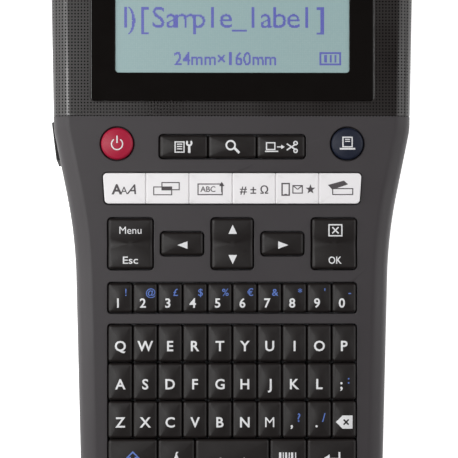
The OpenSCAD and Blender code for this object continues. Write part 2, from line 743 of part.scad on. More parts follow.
// involute gear outline: flank points from root to tip on both sides of each tooth
function gear_points(n) =
    let (rp = pitch_r(n))
    let (rb = rp * cos(pressure))
    let (rt = rp + 0.75 * gear_m)
    let (rr = rp - gear_m)
    let (half = 90 / n - backlash / 2 / rp * 180 / PI / 2)
    let (radii = [for (i = [0:4]) let (r0 = max(rb, rr + 0.15)) r0 + (rt - r0) * i / 4])
    let (turn = [for (r = radii) half + inv(pressure) - inv(acos(min(1, rb / r)))])
    [for (k = [0:n - 1])
        let (c = 360 * k / n)
        each concat(
            [[rr * cos(c - turn[0] - 1), rr * sin(c - turn[0] - 1)]],
            [for (i = [0:4]) [radii[i] * cos(c - turn[i]), radii[i] * sin(c - turn[i])]],
            [for (i = [4:-1:0]) [radii[i] * cos(c + turn[i]), radii[i] * sin(c + turn[i])]],
            [[rr * cos(c + turn[0] + 1), rr * sin(c + turn[0] + 1)]])];
// turn of a gear with n teeth that lies in a direction from the drive gear, so that the teeth mesh
function mesh_turn(dir, n) = dir + 180 - 360 / n * (0.5 - dir * drive_n / 360);
module gear(n, t, bore) {
    linear_extrude(t) difference() {
        polygon(gear_points(n));
        if (bore > 0) circle(d = bore);
    }
}
module drive_gear() {
    color("#e9e6dc") translate([drive_x, drive_y, gear_z]) {
        gear(drive_n, gear_t, stud_d + 2 * run_fit);
        difference() {
            cylinder(d = 9, h = gear_t + 1.5);
            translate([0, 0, -1]) cylinder(d = stud_d + 2 * run_fit, h = gear_t + 4);
        }
    }
}
module motor_pinion() {
    color("#d9b25a") {
        translate([motor_x, motor_y, gear_z]) rotate([0, 0, mesh_turn(pinion_dir, pinion_n)])
            gear(pinion_n, gear_t + 0.6, 0);
        rod(motor_x, motor_y, plate_z0 - 6, gear_z + 0.2, 2);
    }
}
module drive_motor() {
    color("#9c9ea3") difference() {
        union() {
            rod(motor_x, motor_y, plate_z0 - motor_l, plate_z0, motor_d);
            rod(motor_x, motor_y, plate_z0 - 0.5, plate_z1, 7);
        }
        rod(motor_x, motor_y, plate_z0 - 8, plate_z1 + 1, 2 + 2 * run_fit);
    }
}
tape_z0 = exit_z0 + 1.7;
module platen_roller() {
    color("#3a3a3d") rod(platen_x, platen_y, tape_z0 - 0.5, tape_z0 + tape_w + 0.5, platen_d);
    color("#c9cacd") rod(platen_x, platen_y, panel_z + 0.1, gear_z + gear_t + 1, axle_d);
    color("#e9e6dc") translate([platen_x, platen_y, gear_z]) rotate([0, 0, mesh_turn(platen_dir, platen_n)])
        gear(platen_n, gear_t, 0);
}
module ribbon_spindle() {
    color("#e9e6dc") {
        translate([ribbon_x, ribbon_y, gear_z]) rotate([0, 0, mesh_turn(ribbon_dir, ribbon_n)])
            gear(ribbon_n, gear_t, 0);
        rod(ribbon_x, ribbon_y, cass_z0 + 6, gear_z + 0.2, spindle_d);
        for (a = [0:120:240]) translate([ribbon_x, ribbon_y, cass_z0 + 6]) rotate([0, 0, a])
            slab(1, spindle_d / 2 + 0.9, -0.5, 0.5, 0, cass_t - 8);
    }
}
// the arm carries the print head on its far end and swings away from the platen
arm_w = 5;
head_y0 = platen_y - 8;
head_y1 = platen_y + 8;
head_x = tape_x + 0.15;
head_t_plate = 1;
module head_arm() {
    color("#8b8e94") {
        for (z = [tape_z0 - 1.6, tape_z0 + tape_w]) {
            rod(arm_x, arm_y, z, z + 1.6, 7);
            slab(arm_x - arm_w / 2, arm_x + arm_w / 2 - 1, arm_y, head_y1, z, z + 1.6);
        }
        slab(head_x + head_t_plate, arm_x + arm_w / 2 - 1, head_y0, head_y1, tape_z0 - 1, tape_z0 + tape_w + 1);
        rod(arm_x, arm_y, panel_z + 0.1, plate_z1, axle_d);
    }
}
module print_head() {
    color("#5d6a5a") slab(head_x, head_x + head_t_plate, head_y0, head_y1, tape_z0, tape_z0 + tape_w);
}
module mech_chassis() {
    color("#a5a8ac") difference() {
        union() {
            slab(leg_left - 4, leg_right + 4, leg_y0 - 3, leg_y1 + 2.5, plate_z0, plate_z1);
            for (x = [leg_left, leg_right]) for (y = [leg_y0, leg_y1]) {
                rod(x, y, floor_t, plate_z0 + 0.1, leg_d);
                rod(x, y, plate_z1 - 0.1, board_z, leg_d);
            }
            rod(drive_x, drive_y, plate_z1 - 0.1, gear_z + gear_t + 2, stud_d);
            // channel that the cutter blade slides in, carried on a tab
            slab(tape_x - 13.5, tape_x - 4, leg_y1 + 2, cutter_y + 3.3, plate_z0, plate_z1);
            for (y = [cutter_y - 2, cutter_y + cutter_t + 0.1])
                slab(tape_x - 13.5, tape_x - 5, y, y + 2, exit_z0, plate_z0 + 0.1);
        }
        rod(motor_x, motor_y, plate_z0 - 1, plate_z1 + 1, 7 + 2 * run_fit);
        rod(platen_x, platen_y, plate_z0 - 1, plate_z1 + 1, axle_d + 2 * run_fit);
        rod(arm_x, arm_y, plate_z0 - 1, plate_z1 + 1, axle_d + 2 * run_fit);
        rod(ribbon_x, ribbon_y, plate_z0 - 1, plate_z1 + 1, spindle_d + 2 * run_fit);
    }
}
module cutter_blade() {
    color("#c6c9ce") difference() {
        slab(tape_x - 15, tape_x - 2.6, cutter_y, cutter_y + cutter_t, tape_z0 - 0.8, tape_z0 + tape_w + 0.8);
        // ground edge
        translate([tape_x - 2.6, cutter_y, 0]) rotate([0, 0, 35]) slab(-4, 4, -4, 0, 0, big / 4);
    }
}
module tape_cassette() {
    color("#d8d6cf") difference() {
        translate([0, 0, cass_z0]) linear_extrude(cass_t) cassette_plan(0);
        difference() {
            rod(roll_x, roll_y, cass_z0 + roll_wall, cass_z1 - roll_wall, roll_d + 4);
            rod(roll_x, roll_y, cass_z0, cass_z1, core_bore - 2 * run_fit);
        }
        rod(ribbon_x, ribbon_y, cass_z0 + roll_wall, cass_z1 + 1, spindle_d + 4);
    }
}
module tape_roll() {
    color("#f2f0ea") difference() {
        rod(roll_x, roll_y, cass_z0 + 3.5, cass_z0 + 3.5 + tape_w, roll_d);
        rod(roll_x, roll_y, 0, big / 4, core_d);
    }
    color("#6f7176") difference() {
        rod(roll_x, roll_y, cass_z0 + roll_wall, cass_z1 - roll_wall - 0.2, core_d);
        rod(roll_x, roll_y, 0, big / 4, core_bore);
    }
}
module main_board() {
    color("#1f6b3f") slab(leg_left - 2.5, side_x - 7, leg_y0 - 3, leg_y1 + 3, board_z, board_z + board_t);
    color("#26282b") {
        slab(-12, 2, leg_y0 + 20, leg_y0 + 34, board_z - 1.2, board_z + 0.1);
        slab(12, 22, leg_y0 + 30, leg_y0 + 38, board_z - 1.2, board_z + 0.1);
    }
}
socket_x = -port_wall_x + wall + 1.2;
module port_sockets() {
    color("#1f6b3f") slab(socket_x + 8, socket_x + 9.6, port_v - 9, port_v + 9, floor_t, port_z0 + port_h + 3);
    color("#b4b6ba") difference() {
        slab(socket_x, socket_x + 8.1, port_v - 4, port_v + 4, port_z0 + 11.2, port_z0 + 15.4);
        slab(socket_x - 1, socket_x + 6, port_v - 3.4, port_v + 3.4, port_z0 + 11.8, port_z0 + 14.8);
    }
    color("#222224") difference() {
        slab(socket_x, socket_x + 8.1, port_v - 4, port_v + 4, port_z0 + 2.8, port_z0 + 10);
        translate([socket_x - 1, port_v, port_z0 + 6.4]) rotate([0, 90, 0]) cylinder(d = 5.2, h = 7);
    }
}

front_casing();
head_fascia();
display_lens();
lcd_module();
rear_casing();
back_cover();
cover_latch();
grip_left();
grip_right();
port_flap();
casing_screws();
main_board();
port_sockets();
keypad_mat();
keypad_board();
battery_cells();
battery_contacts();
mech_chassis();
print_head();
head_arm();
platen_roller();
drive_motor();
motor_pinion();
drive_gear();
ribbon_spindle();
cutter_blade();
tape_cassette();
tape_roll();
round_key(-1);  // power_key
round_key(1);  // print_key
for (k = plain_keys) simple_key(k);
for (k = rocker_keys) rocker_key(k);
for (i = [0:5]) white_key(i);
letter_keys();
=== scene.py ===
import json
import math

import bmesh
import bpy
from mathutils import Matrix, Vector
from mathutils.bvhtree import BVHTree

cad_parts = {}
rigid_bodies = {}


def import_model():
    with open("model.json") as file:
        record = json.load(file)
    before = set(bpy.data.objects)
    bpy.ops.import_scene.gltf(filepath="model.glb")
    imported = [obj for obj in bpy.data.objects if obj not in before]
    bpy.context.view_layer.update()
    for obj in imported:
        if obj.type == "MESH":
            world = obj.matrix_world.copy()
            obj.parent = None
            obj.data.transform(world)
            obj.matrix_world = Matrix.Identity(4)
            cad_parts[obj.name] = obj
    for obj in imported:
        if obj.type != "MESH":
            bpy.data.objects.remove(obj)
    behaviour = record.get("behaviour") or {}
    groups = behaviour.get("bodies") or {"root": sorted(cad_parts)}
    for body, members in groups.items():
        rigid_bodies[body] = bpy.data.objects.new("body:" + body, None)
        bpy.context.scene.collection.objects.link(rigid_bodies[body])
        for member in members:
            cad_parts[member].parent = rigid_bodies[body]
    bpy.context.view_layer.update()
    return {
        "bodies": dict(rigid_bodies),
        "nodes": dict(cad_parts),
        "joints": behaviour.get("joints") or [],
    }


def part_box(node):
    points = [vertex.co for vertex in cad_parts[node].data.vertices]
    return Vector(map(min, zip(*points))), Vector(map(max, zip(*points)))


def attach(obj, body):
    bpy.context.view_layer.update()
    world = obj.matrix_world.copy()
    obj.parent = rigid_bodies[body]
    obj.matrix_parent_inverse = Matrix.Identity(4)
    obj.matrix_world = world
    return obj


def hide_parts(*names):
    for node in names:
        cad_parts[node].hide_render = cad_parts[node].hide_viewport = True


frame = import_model()
nodes = frame["nodes"]
mm = 0.001                      # pieces are built in millimetres, and finished in metres
print("frame loaded:", len(nodes), "nodes")

# Places on the key face are (x, v, up): across it, along it from the foot to the head, and out of it.
pressAxis = next(j["axis"] for j in frame["joints"] if j["name"] == "setup_press")
sinT, cosT = pressAxis[1], -pressAxis[2]


def rawDeck(p):
    return Vector((p.x, p.y * cosT + p.z * sinT, p.z * cosT - p.y * sinT)) / mm


faceUp = max(rawDeck(v.co).z for v in nodes["display_lens"].data.vertices)
faceMid = faceUp / cosT         # height of the key face over the origin
midV = faceMid * sinT


def deckBox(node):
    points = [rawDeck(v.co) for v in nodes[node].data.vertices]
    low = [min(p[i] for p in points) for i in range(3)]
    high = [max(p[i] for p in points) for i in range(3)]
    return {"x": (low[0] + high[0]) / 2, "v": (low[1] + high[1]) / 2 - midV, "w": high[0] - low[0],
            "h": high[1] - low[1], "top": high[2] - faceUp, "bottom": low[2] - faceUp,
            "low": low[1] - midV, "high": high[1] - midV}


def fromDeck(x, v, up=0.0):
    v += midV
    up += faceUp
    return Vector((x, v * cosT - up * sinT, v * sinT + up * cosT))


def faceZ(y):
    return faceMid + y * sinT / cosT


def cadCorners(node):
    low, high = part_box(node)
    return low / mm, high / mm


# Closed solids from rings, and how they are cut, joined and handed over.
def newMesh(name, verts, faces):
    mesh = bpy.data.meshes.new(name)
    mesh.from_pydata([tuple(v) for v in verts], [], faces)
    obj = bpy.data.objects.new(name, mesh)
    bpy.context.scene.collection.objects.link(obj)
    return obj


def turnOutward(obj, mergeAt=0.0):
    bm = bmesh.new()
    bm.from_mesh(obj.data)
    if mergeAt:
        bmesh.ops.remove_doubles(bm, verts=bm.verts, dist=mergeAt)
    bmesh.ops.recalc_face_normals(bm, faces=bm.faces)
    bm.to_mesh(obj.data)
    bm.free()
    return obj


def loft(name, rings, middle=None):
    # closed solid through rings of equal length; middle closes the last ring with a fan of triangles
    n = len(rings[0])
    verts = [p for ring in rings for p in ring]
    faces = [(j * n + i, j * n + (i + 1) % n, (j + 1) * n + (i + 1) % n, (j + 1) * n + i)
             for j in range(len(rings) - 1) for i in range(n)]
    faces.append(tuple(range(n)))
    last = (len(rings) - 1) * n
    if middle is None:
        faces.append(tuple(last + i for i in range(n)))
    else:
        verts.append(middle)
        faces += [(last + i, last + (i + 1) % n, len(verts) - 1) for i in range(n)]
    return turnOutward(newMesh(name, verts, faces))


def block(x0, x1, y0, y1, z0, z1, name="block"):
    ring = [(x0, y0), (x1, y0), (x1, y1), (x0, y1)]
    return loft(name, [[(x, y, z) for x, y in ring] for z in (z0, z1)])


def deckBlock(x0, x1, v0, v1, low, high, name="block"):
    ring = [(x0, v0), (x1, v0), (x1, v1), (x0, v1)]
    return loft(name, [[fromDeck(x, v, up) for x, v in ring] for up in (low, high)])


def rod(x, y, z0, z1, radius, sides=48, name="rod"):
    ring = [(x + radius * math.cos(2 * math.pi * k / sides), y + radius * math.sin(2 * math.pi * k / sides))
            for k in range(sides)]
    return loft(name, [[(px, py, z) for px, py in ring] for z in (z0, z1)])


def lathe(name, profile, sides=40):
    # profile is (radius, height) from bottom to top, round Z; both ends are closed
    rings = [[(r * math.cos(2 * math.pi * k / sides), r * math.sin(2 * math.pi * k / sides), z)
              for k in range(sides)] for r, z in profile]
    return loft(name, rings)


def settle(obj):
    # modifiers become the mesh
    done = bpy.data.meshes.new_from_object(obj.evaluated_get(bpy.context.evaluated_depsgraph_get()))
    obj.modifiers.clear()
    obj.data = done
    return obj


def carve(obj, operation, tools):
    for tool in tools:
        mod = obj.modifiers.new("carve", "BOOLEAN")
        mod.operation = operation
        mod.solver = "MANIFOLD"
        mod.object = tool
    settle(obj)
    for tool in tools:
        bpy.data.objects.remove(tool)
    return obj


def join(name, parts):
    verts, faces = [], []
    for part in parts:
        base = len(verts)
        verts += [v.co.copy() for v in part.data.vertices]
        faces += [tuple(base + i for i in p.vertices) for p in part.data.polygons]
        bpy.data.objects.remove(part)
    return newMesh(name, verts, faces)


def softLoop(corners, radius, steps=5, split=1):
    # rounded outline of a polygon, each point as (x, y, normal x, normal y); radius may differ by corner
    points = []
    radii = radius if isinstance(radius, list) else [radius] * len(corners)
    for i, at in enumerate(corners):
        points += cornerArc(corners[i - 1], at, corners[(i + 1) % len(corners)], radii[i], steps)
    if split == 1:
        return points
    fine = []
    for i, (p, q) in enumerate(zip(points, points[1:] + points[:1])):
        fine.append(p)
        if (i + 1) % (steps + 1) == 0:
            fine += [tuple(a + (b - a) * k / split for a, b in zip(p, q)) for k in range(1, split)]
    return fine


def cornerArc(before, at, after, radius, steps):
    u = (Vector(before) - Vector(at)).normalized()
    w = (Vector(after) - Vector(at)).normalized()
    half = math.acos(max(-1.0, min(1.0, u.dot(w)))) / 2
    centre = Vector(at) + (u + w).normalized() * (radius / math.sin(half))
    side = 1 if u.x * w.y - u.y * w.x > 0 else -1
    first = Vector(at) + u * (radius / math.tan(half)) - centre
    start = math.atan2(first.y, first.x)
    turns = [start - side * (math.pi - 2 * half) * i / steps for i in range(steps + 1)]
    return [(centre.x + radius * math.cos(t), centre.y + radius * math.sin(t), side * math.cos(t),
             side * math.sin(t))
            for t in turns]


def rectangle(w, h, x=0.0, y=0.0):
    return [(x + w / 2, y + h / 2), (x + w / 2, y - h / 2), (x - w / 2, y - h / 2), (x - w / 2, y + h / 2)]


def solidsOf(node):
    # the separate solids of a CAD node, each as a list of its points in millimetres
    bm = bmesh.new()
    bm.from_mesh(nodes[node].data)
    bmesh.ops.remove_doubles(bm, verts=bm.verts, dist=1e-6)
    seen, solids = set(), []
    for seed in bm.verts:
        if seed in seen:
            continue
        stack, points = [seed], []
        seen.add(seed)
        while stack:
            vert = stack.pop()
            points.append(vert.co / mm)
            near = [e.other_vert(vert) for e in vert.link_edges]
            stack += [o for o in near if o not in seen]
            seen.update(near)
        solids.append(points)
    bm.free()
    return solids


def shadeSmooth(obj, degrees):
    obj.data.shade_smooth()
    bm = bmesh.new()
    bm.from_mesh(obj.data)
    for e in bm.edges:
        e.smooth = len(e.link_faces) == 2 and e.calc_face_angle(0) < math.radians(degrees)
    bm.to_mesh(obj.data)
    bm.free()


def finished(obj, body, materials, replaces=(), degrees=30, weigh=True):
    # millimetres to metres, shading, materials, and the body that it moves with
    obj.data.transform(Matrix.Scale(mm, 4))
    if degrees:
        shadeSmooth(obj, degrees)
    if weigh:
        mod = obj.modifiers.new("normals", "WEIGHTED_NORMAL")
        mod.keep_sharp = True
    for i, material in enumerate(materials):
        if i < len(obj.data.materials):
            obj.data.materials[i] = material
        else:
            obj.data.materials.append(material)
    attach(obj, body)
    if replaces:
        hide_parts(*replaces)
    return obj


# Finishes. Shader sums are written as Python sums on the class below.
class Num:
    # a number that a shader works out; the operators add Math nodes
    def __init__(self, finish, socket):
        self.finish, self.socket = finish, socket

    def maths(self, operation, a, b):
        return self.finish.node("ShaderNodeMath", {"operation": operation}, {0: a, 1: b})

    def __add__(self, other):
        return self.maths("ADD", self, other)

    def __sub__(self, other):
        return self.maths("SUBTRACT", self, other)

    def __mul__(self, other):
        return self.maths("MULTIPLY", self, other)

    def __rsub__(self, other):
        return self.maths("SUBTRACT", other, self)

    def __gt__(self, other):
        return self.maths("GREATER_THAN", self, other)

    __radd__ = __add__
    __rmul__ = __mul__


class Finish:
    # one material with a Principled surface
    def __init__(self, name):
        self.material = bpy.data.materials.new(name)
        self.material.use_nodes = True
        self.tree = self.material.node_tree
        self.surface = next(n for n in self.tree.nodes if n.type == "BSDF_PRINCIPLED")
        self.place = self.node("ShaderNodeTexCoord", {}, {}, "Object")

    def node(self, kind, settings, sockets, output=0):
        made = self.tree.nodes.new(kind)
        for key, value in settings.items():
            if key == "stops":
                ramp = made.color_ramp.elements
                while len(ramp) < len(value):
                    ramp.new(0.5)
                for element, (at, colour) in zip(ramp, value):
                    element.position, element.color = at, (*colour, 1) if len(colour) == 3 else colour
            else:
                setattr(made, key, value)
        for key, value in sockets.items():
            self.link(made.inputs[key], value)
        return Num(self, made.outputs[output])

    def link(self, socket, value):
        if isinstance(value, Num):
            self.tree.links.new(value.socket, socket)
        elif socket.type == "RGBA" and len(value) == 3:
            socket.default_value = (*value, 1)
        else:
            socket.default_value = value

    def noise(self, size, detail=2.0, rough=0.5, place=None):
        # size is the width of one patch, in millimetres
        return self.node("ShaderNodeTexNoise", {}, {"Vector": place or self.place, "Scale": 1 / (size * mm),
                                                    "Detail": detail, "Roughness": rough}, "Fac")

    def between(self, value, low, high, outLow=0.0, outHigh=1.0):
        return self.node("ShaderNodeMapRange", {}, {"Value": value, "From Min": low, "From Max": high,
                                                    "To Min": outLow, "To Max": outHigh})

    def mix(self, factor, a, b):
        return self.node("ShaderNodeMix", {"data_type": "RGBA"}, {0: factor, 6: a, 7: b}, 2)

    def axis(self, name):
        return self.node("ShaderNodeSeparateXYZ", {}, {"Vector": self.place}, name)

    def bump(self, height, depth, strength=1.0):
        # depth is in millimetres
        return self.node("ShaderNodeBump", {},
                         {"Height": height, "Distance": depth * mm, "Strength": strength},
                         "Normal")

    def set(self, **values):
        for key, value in values.items():
            self.link(self.surface.inputs[key.replace("_", " ")], value)
        return self.material


def scaled(colour, factor):
    return tuple(c * factor for c in colour)


def mouldedPlastic(name, colour, rough=0.45, grain=0.45, depth=0.018, coat=0.0, wear=0.12, spread=0.08,
                   shine=0.38):
    # fine moulded grain, faint mottling, and roughness that shifts where hands have polished it
    f = Finish(name)
    mottle = f.noise(14, 3)
    fine = f.noise(grain, 2, 0.6)
    base = f.mix(mottle * 0.6 + fine * 0.4, scaled(colour, 1 - spread), scaled(colour, 1 + spread))
    polish = f.between(f.noise(30, 2), 0.35, 0.7, rough + wear * 0.5, rough - wear * 0.5)
    return f.set(Base_Color=base, Roughness=polish + (fine - 0.5) * 0.1, Normal=f.bump(fine, depth),
                 Coat_Weight=coat, Coat_Roughness=0.25, Specular_IOR_Level=shine)


def rubber(name, colour, rough=0.62, depth=0.01):
    f = Finish(name)
    fine = f.noise(0.3, 2, 0.6)
    dust = f.between(f.noise(5, 4, 0.6), 0.45, 0.75)
    base = f.mix(dust * 0.35, colour, tuple(c * 1.25 + 0.006 for c in colour))
    return f.set(Base_Color=base, Roughness=f.between(fine, 0.3, 0.7, rough - 0.06, rough + 0.08),
                 Normal=f.bump(fine, depth), Specular_IOR_Level=0.28)


def metal(name, colour, rough=0.3, along="Y", depth=0.004):
    # drawn or brushed metal: the grain is stretched along one axis
    f = Finish(name)
    stretch = {"X": (0.06, 1, 1), "Y": (1, 0.06, 1), "Z": (1, 1, 0.06)}[along]
    drawn = f.node("ShaderNodeMapping", {}, {"Vector": f.place, "Scale": stretch}, "Vector")
    streak = f.noise(0.35, 3, 0.6, drawn)
    stain = f.noise(6, 3)
    base = f.mix(stain, scaled(colour, 0.86), colour)
    return f.set(Base_Color=base, Metallic=1.0,
                 Roughness=f.between(streak, 0.25, 0.75, rough - 0.08, rough + 0.14),
                 Normal=f.bump(streak, depth))


def ink(name, colour, rough=0.5, shine=0.5):
    f = Finish(name)
    fine = f.noise(0.25, 2)
    return f.set(Base_Color=f.mix(fine, scaled(colour, 0.9), scaled(colour, 1.05)), Roughness=rough,
                 Normal=f.bump(fine, 0.004), Specular_IOR_Level=shine)


def circuitBoard(name):
    # solder resist over a faint lattice of tracks
    f = Finish(name)
    tracks = f.node("ShaderNodeTexBrick", {"offset": 0.5}, {
        "Vector": f.place, "Scale": 1.0, "Mortar Size": 0.00022, "Brick Width": 0.0052,
        "Row Height": 0.0019,
        "Color1": (0.012, 0.11, 0.045), "Color2": (0.015, 0.125, 0.05), "Mortar": (0.03, 0.2, 0.08)},
        "Color")
    fine = f.noise(0.6, 2)
    return f.set(Base_Color=f.mix(fine * 0.25, tracks, (0.01, 0.08, 0.035)), Roughness=0.32,
                 Normal=f.bump(fine, 0.01), Coat_Weight=0.3)


def cellWrap(name, part):
    # each cell: a dark sleeve, a copper band by the stud, bare metal ends
    f = Finish(name)
    fine = f.noise(0.5, 2)
    along = f.axis("Y")
    length = part["length"] * mm
    across = f.node("ShaderNodeMath", {"operation": "ABSOLUTE"}, {0: f.axis("X")})
    turned = f.node("ShaderNodeMath", {"operation": "LESS_THAN"}, {0: across, 1: part["middle"] * mm})
    forth = f.node("ShaderNodeMath", {"operation": "MODULO"}, {0: along - part["start"] * mm, 1: length})
    back = length - f.node("ShaderNodeMath", {"operation": "MODULO"},
                           {0: along - part["turnedStart"] * mm, 1: length})
    band = (forth + (back - forth) * turned) > length * 0.72
    facing = f.node("ShaderNodeNewGeometry", {}, {}, "Normal")
    endOn = f.node("ShaderNodeMath", {"operation": "ABSOLUTE"}, {
        0: f.node("ShaderNodeSeparateXYZ", {}, {"Vector": facing}, "Y")}) > 0.7
    sleeve = f.mix(band, (0.012, 0.013, 0.016), (0.5, 0.22, 0.07))
    return f.set(Base_Color=f.mix(endOn, sleeve, (0.6, 0.6, 0.62)), Metallic=endOn,
                 Roughness=f.between(fine, 0.3, 0.7, 0.26, 0.36), Normal=f.bump(fine, 0.004),
                 Coat_Weight=0.2)


def lensGloss(name):
    f = Finish(name)
    wipe = f.noise(9, 4, 0.6)
    return f.set(Base_Color=f.mix(wipe, (0.0035, 0.0025, 0.0022), (0.005, 0.004, 0.0035)),
                 Roughness=f.between(wipe, 0.3, 0.7, 0.05, 0.09), Coat_Weight=0.6, Coat_Roughness=0.04)


def crystalPanel(name):
    # the reflective sheet behind the liquid crystal: a fine cell pattern and a faint cloudy shift of tone
    f = Finish(name)
    cells = f.node("ShaderNodeTexBrick", {"offset": 0.0}, {
        "Vector": f.place, "Scale": 1.0, "Mortar Size": 0.00004, "Brick Width": 0.00058,
        "Row Height": 0.00058,
        "Color1": (0.30, 0.41, 0.41), "Color2": (0.32, 0.43, 0.425), "Mortar": (0.26, 0.37, 0.375)},
        "Color")
    cloud = f.noise(20, 2)
    return f.set(Base_Color=f.mix(cloud * 0.5, cells, (0.27, 0.41, 0.42)), Roughness=0.28,
                 Normal=f.bump(f.noise(0.3, 2), 0.003), Coat_Weight=0.5)


def tapeWound(name):
    # laminated tape on its core: fine rings seen from the ends
    f = Finish(name)
    fine = f.noise(0.2, 2)
    ring = f.node("ShaderNodeTexWave", {"wave_type": "BANDS", "bands_direction": "Z"}, {
        "Vector": f.place, "Scale": 900.0, "Distortion": 1.5}, "Fac")
    return f.set(Base_Color=f.mix(ring * 0.5 + fine * 0.3, (0.82, 0.81, 0.77), (0.66, 0.65, 0.6)),
                 Roughness=0.45,
                 Normal=f.bump(fine + ring * 0.4, 0.01))


finishes = {
    "deck": mouldedPlastic("deckPlastic", (0.037, 0.0325, 0.035), 0.45, 0.4, 0.016, shine=0.32),
    "head": mouldedPlastic("headPlastic", (0.0105, 0.0078, 0.0072), 0.28, 0.4, 0.014, shine=0.55),
    "back": mouldedPlastic("backPlastic", (0.022, 0.02, 0.021), 0.46, 0.5, 0.02),
    "grip": rubber("gripRubber", (0.012, 0.011, 0.012), 0.66, 0.02),
    "lens": lensGloss("lensGloss"),
    "panel": crystalPanel("crystalPanel"),
    "lcdInk": ink("crystalInk", (0.085, 0.075, 0.44), 0.35),
    # pore discs: near-black and without sheen, painted shade for the hollow of each pore
    "pore": ink("poreShade", (0.002, 0.0016, 0.0016), 0.9, 0.05),
    "keyBlack": rubber("keyBlack", (0.009, 0.0068, 0.0065), 0.42),
    "keyWhite": mouldedPlastic("keyWhite", (0.78, 0.76, 0.77), 0.4, 0.35, 0.008, 0.0, 0.08, 0.02),
    "keyRed": rubber("keyRed", (0.34, 0.008, 0.035), 0.42),
    "keyNavy": rubber("keyNavy", (0.006, 0.009, 0.022), 0.5),
    "white": ink("legendWhite", (0.7, 0.7, 0.71)),
    "blue": ink("legendBlue", (0.09, 0.17, 0.5)),
    "dark": ink("legendDark", (0.06, 0.05, 0.055)),
    "mat": rubber("matRubber", (0.13, 0.13, 0.14)),
    "board": circuitBoard("boardResist"),
    "spring": metal("springPlate", (0.66, 0.66, 0.68), 0.28),
    "screw": metal("screwZinc", (0.45, 0.45, 0.47), 0.36, "X"),
    "chassis": metal("chassisSheet", (0.55, 0.56, 0.58), 0.38),
    "nylon": mouldedPlastic("nylonWhite", (0.78, 0.76, 0.7), 0.42, 0.4, 0.008, 0, 0.05, 0.03),
    "platen": rubber("platenRubber", (0.02, 0.02, 0.022), 0.7),
    "brass": metal("brassTurned", (0.72, 0.5, 0.19), 0.28, "Z"),
    "cassette": mouldedPlastic("cassettePlastic", (0.3, 0.3, 0.29), 0.42, 0.5, 0.014, 0, 0.08, 0.04),
    "tape": tapeWound("tapeWound"),
    "ceramic": mouldedPlastic("headCeramic", (0.1, 0.13, 0.09), 0.25, 0.5, 0.006),
    "socket": metal("socketShell", (0.6, 0.6, 0.62), 0.3, "X"),
    "paper": ink("labelPaper", (0.7, 0.71, 0.72), 0.55),
    "cover": mouldedPlastic("coverPlastic", (0.036, 0.034, 0.036), 0.5, 0.5, 0.02),
    "latch": mouldedPlastic("latchPlastic", (0.02, 0.019, 0.02), 0.42, 0.5, 0.014),
    "cells": cellWrap("cellWrap", {"start": -105.4, "turnedStart": -109.1, "length": 50.5, "middle": 7.5}),
}
print("materials made:", len(finishes))


# The outline that both shells share, seen from above.
shell = {"halfWidth": 58.0, "halfLength": 122.0, "waistIn": 7.9, "footIn": 10.1, "shoulder": 4.3,
         "waist": -29.0,
         "headCrown": 3.8, "footCrown": 3.4, "headCrownR": 380.0, "footCrownR": 300.0, "wall": 2.2,
         "faceRound": 5.5, "backRound": 6.0, "parting": 20.0, "floor": 4.0, "roundSteps": 10,
         "seamGap": 0.05, "grooveDeep": 0.16, "grooveHalf": 0.16}
seamV = deckBox("head_fascia")["low"]


def bodyOutline():
    x, y = shell["halfWidth"], shell["halfLength"]
    footX = x - shell["footIn"]
    top = y + shell["headCrownR"] * (1 / math.cos(math.atan(shell["headCrown"] / x)) - 1)
    foot = -y - shell["footCrownR"] * (1 / math.cos(math.atan(shell["footCrown"] / footX)) - 1)
    half = [((0, top), shell["headCrownR"], 16), ((x - 0.1, top - shell["headCrown"]), 15, 24),
            ((x + 0.02, y / 2), 600, 6), ((x - 1.1, shell["shoulder"]), 20, 8),
            ((x - shell["waistIn"], shell["waist"]), 150, 16), ((footX, foot + shell["footCrown"]), 14, 24),
            ((0, foot), shell["footCrownR"], 16)]
    corners = half + [((-p[0], p[1]), r, n) for p, r, n in reversed(half[1:-1])]
    points = []
    for i, (at, radius, steps) in enumerate(corners):
        points += cornerArc(corners[i - 1][0], at, corners[(i + 1) % len(corners)][0], radius, steps)
    fine = []
    for p, q in zip(points, points[1:] + points[:1]):    # long straight stretches get points of their own
        fine.append(p)
        count = int(math.hypot(q[0] - p[0], q[1] - p[1]) / 5.0)
        fine += [tuple(a + (b - a) * k / (count + 1) for a, b in zip(p, q)) for k in range(1, count + 1)]
    return fine


outline = bodyOutline()


def ringAt(inset, depth=None, z=None):
    # one ring of the outline, set in, at a depth under the key face or at a height over the table
    ring = []
    for x, y, nx, ny in outline:
        px, py = x - inset * nx, y - inset * ny
        ring.append((px, py, z if depth is None else faceZ(py) - depth / cosT))
    return ring


def sideX(y):
    crossed = [p[0] + (q[0] - p[0]) * (y - p[1]) / (q[1] - p[1]) for p,
               q in zip(outline, outline[1:] + outline[:1])
               if p[0] > 0 and (p[1] - y) * (q[1] - y) <= 0 and abs(p[1] - q[1]) > 1e-9]
    return max(crossed)


def quarter(steps):
    return [math.pi / 2 * i / steps for i in range(steps + 1)]


def frontSolid(grow=0.0):
    r = shell["faceRound"]
    rings = [ringAt(-grow, shell["parting"])]
    rings += [ringAt(r * (1 - math.cos(a)) - grow,
                     r * (1 - math.sin(a)) - grow) for a in quarter(shell["roundSteps"])]
    return loft("frontSolid", rings)


def frontHollow():
    wall, r = shell["wall"], shell["faceRound"] - shell["wall"]
    rings = [ringAt(wall, shell["parting"] + 1)]
    rings += [ringAt(wall + r * (1 - math.cos(a)), wall + r * (1 - math.sin(a))) for a in quarter(6)]
    return loft("frontHollow", rings)


def grooveTool(base, slab):
    # scores a line round a shell: what of the slab lies within the groove's depth of the skin
    skin = base(1.0)
    carve(skin, "DIFFERENCE", [base(-shell["grooveDeep"])])
    return carve(skin, "INTERSECT", [slab])


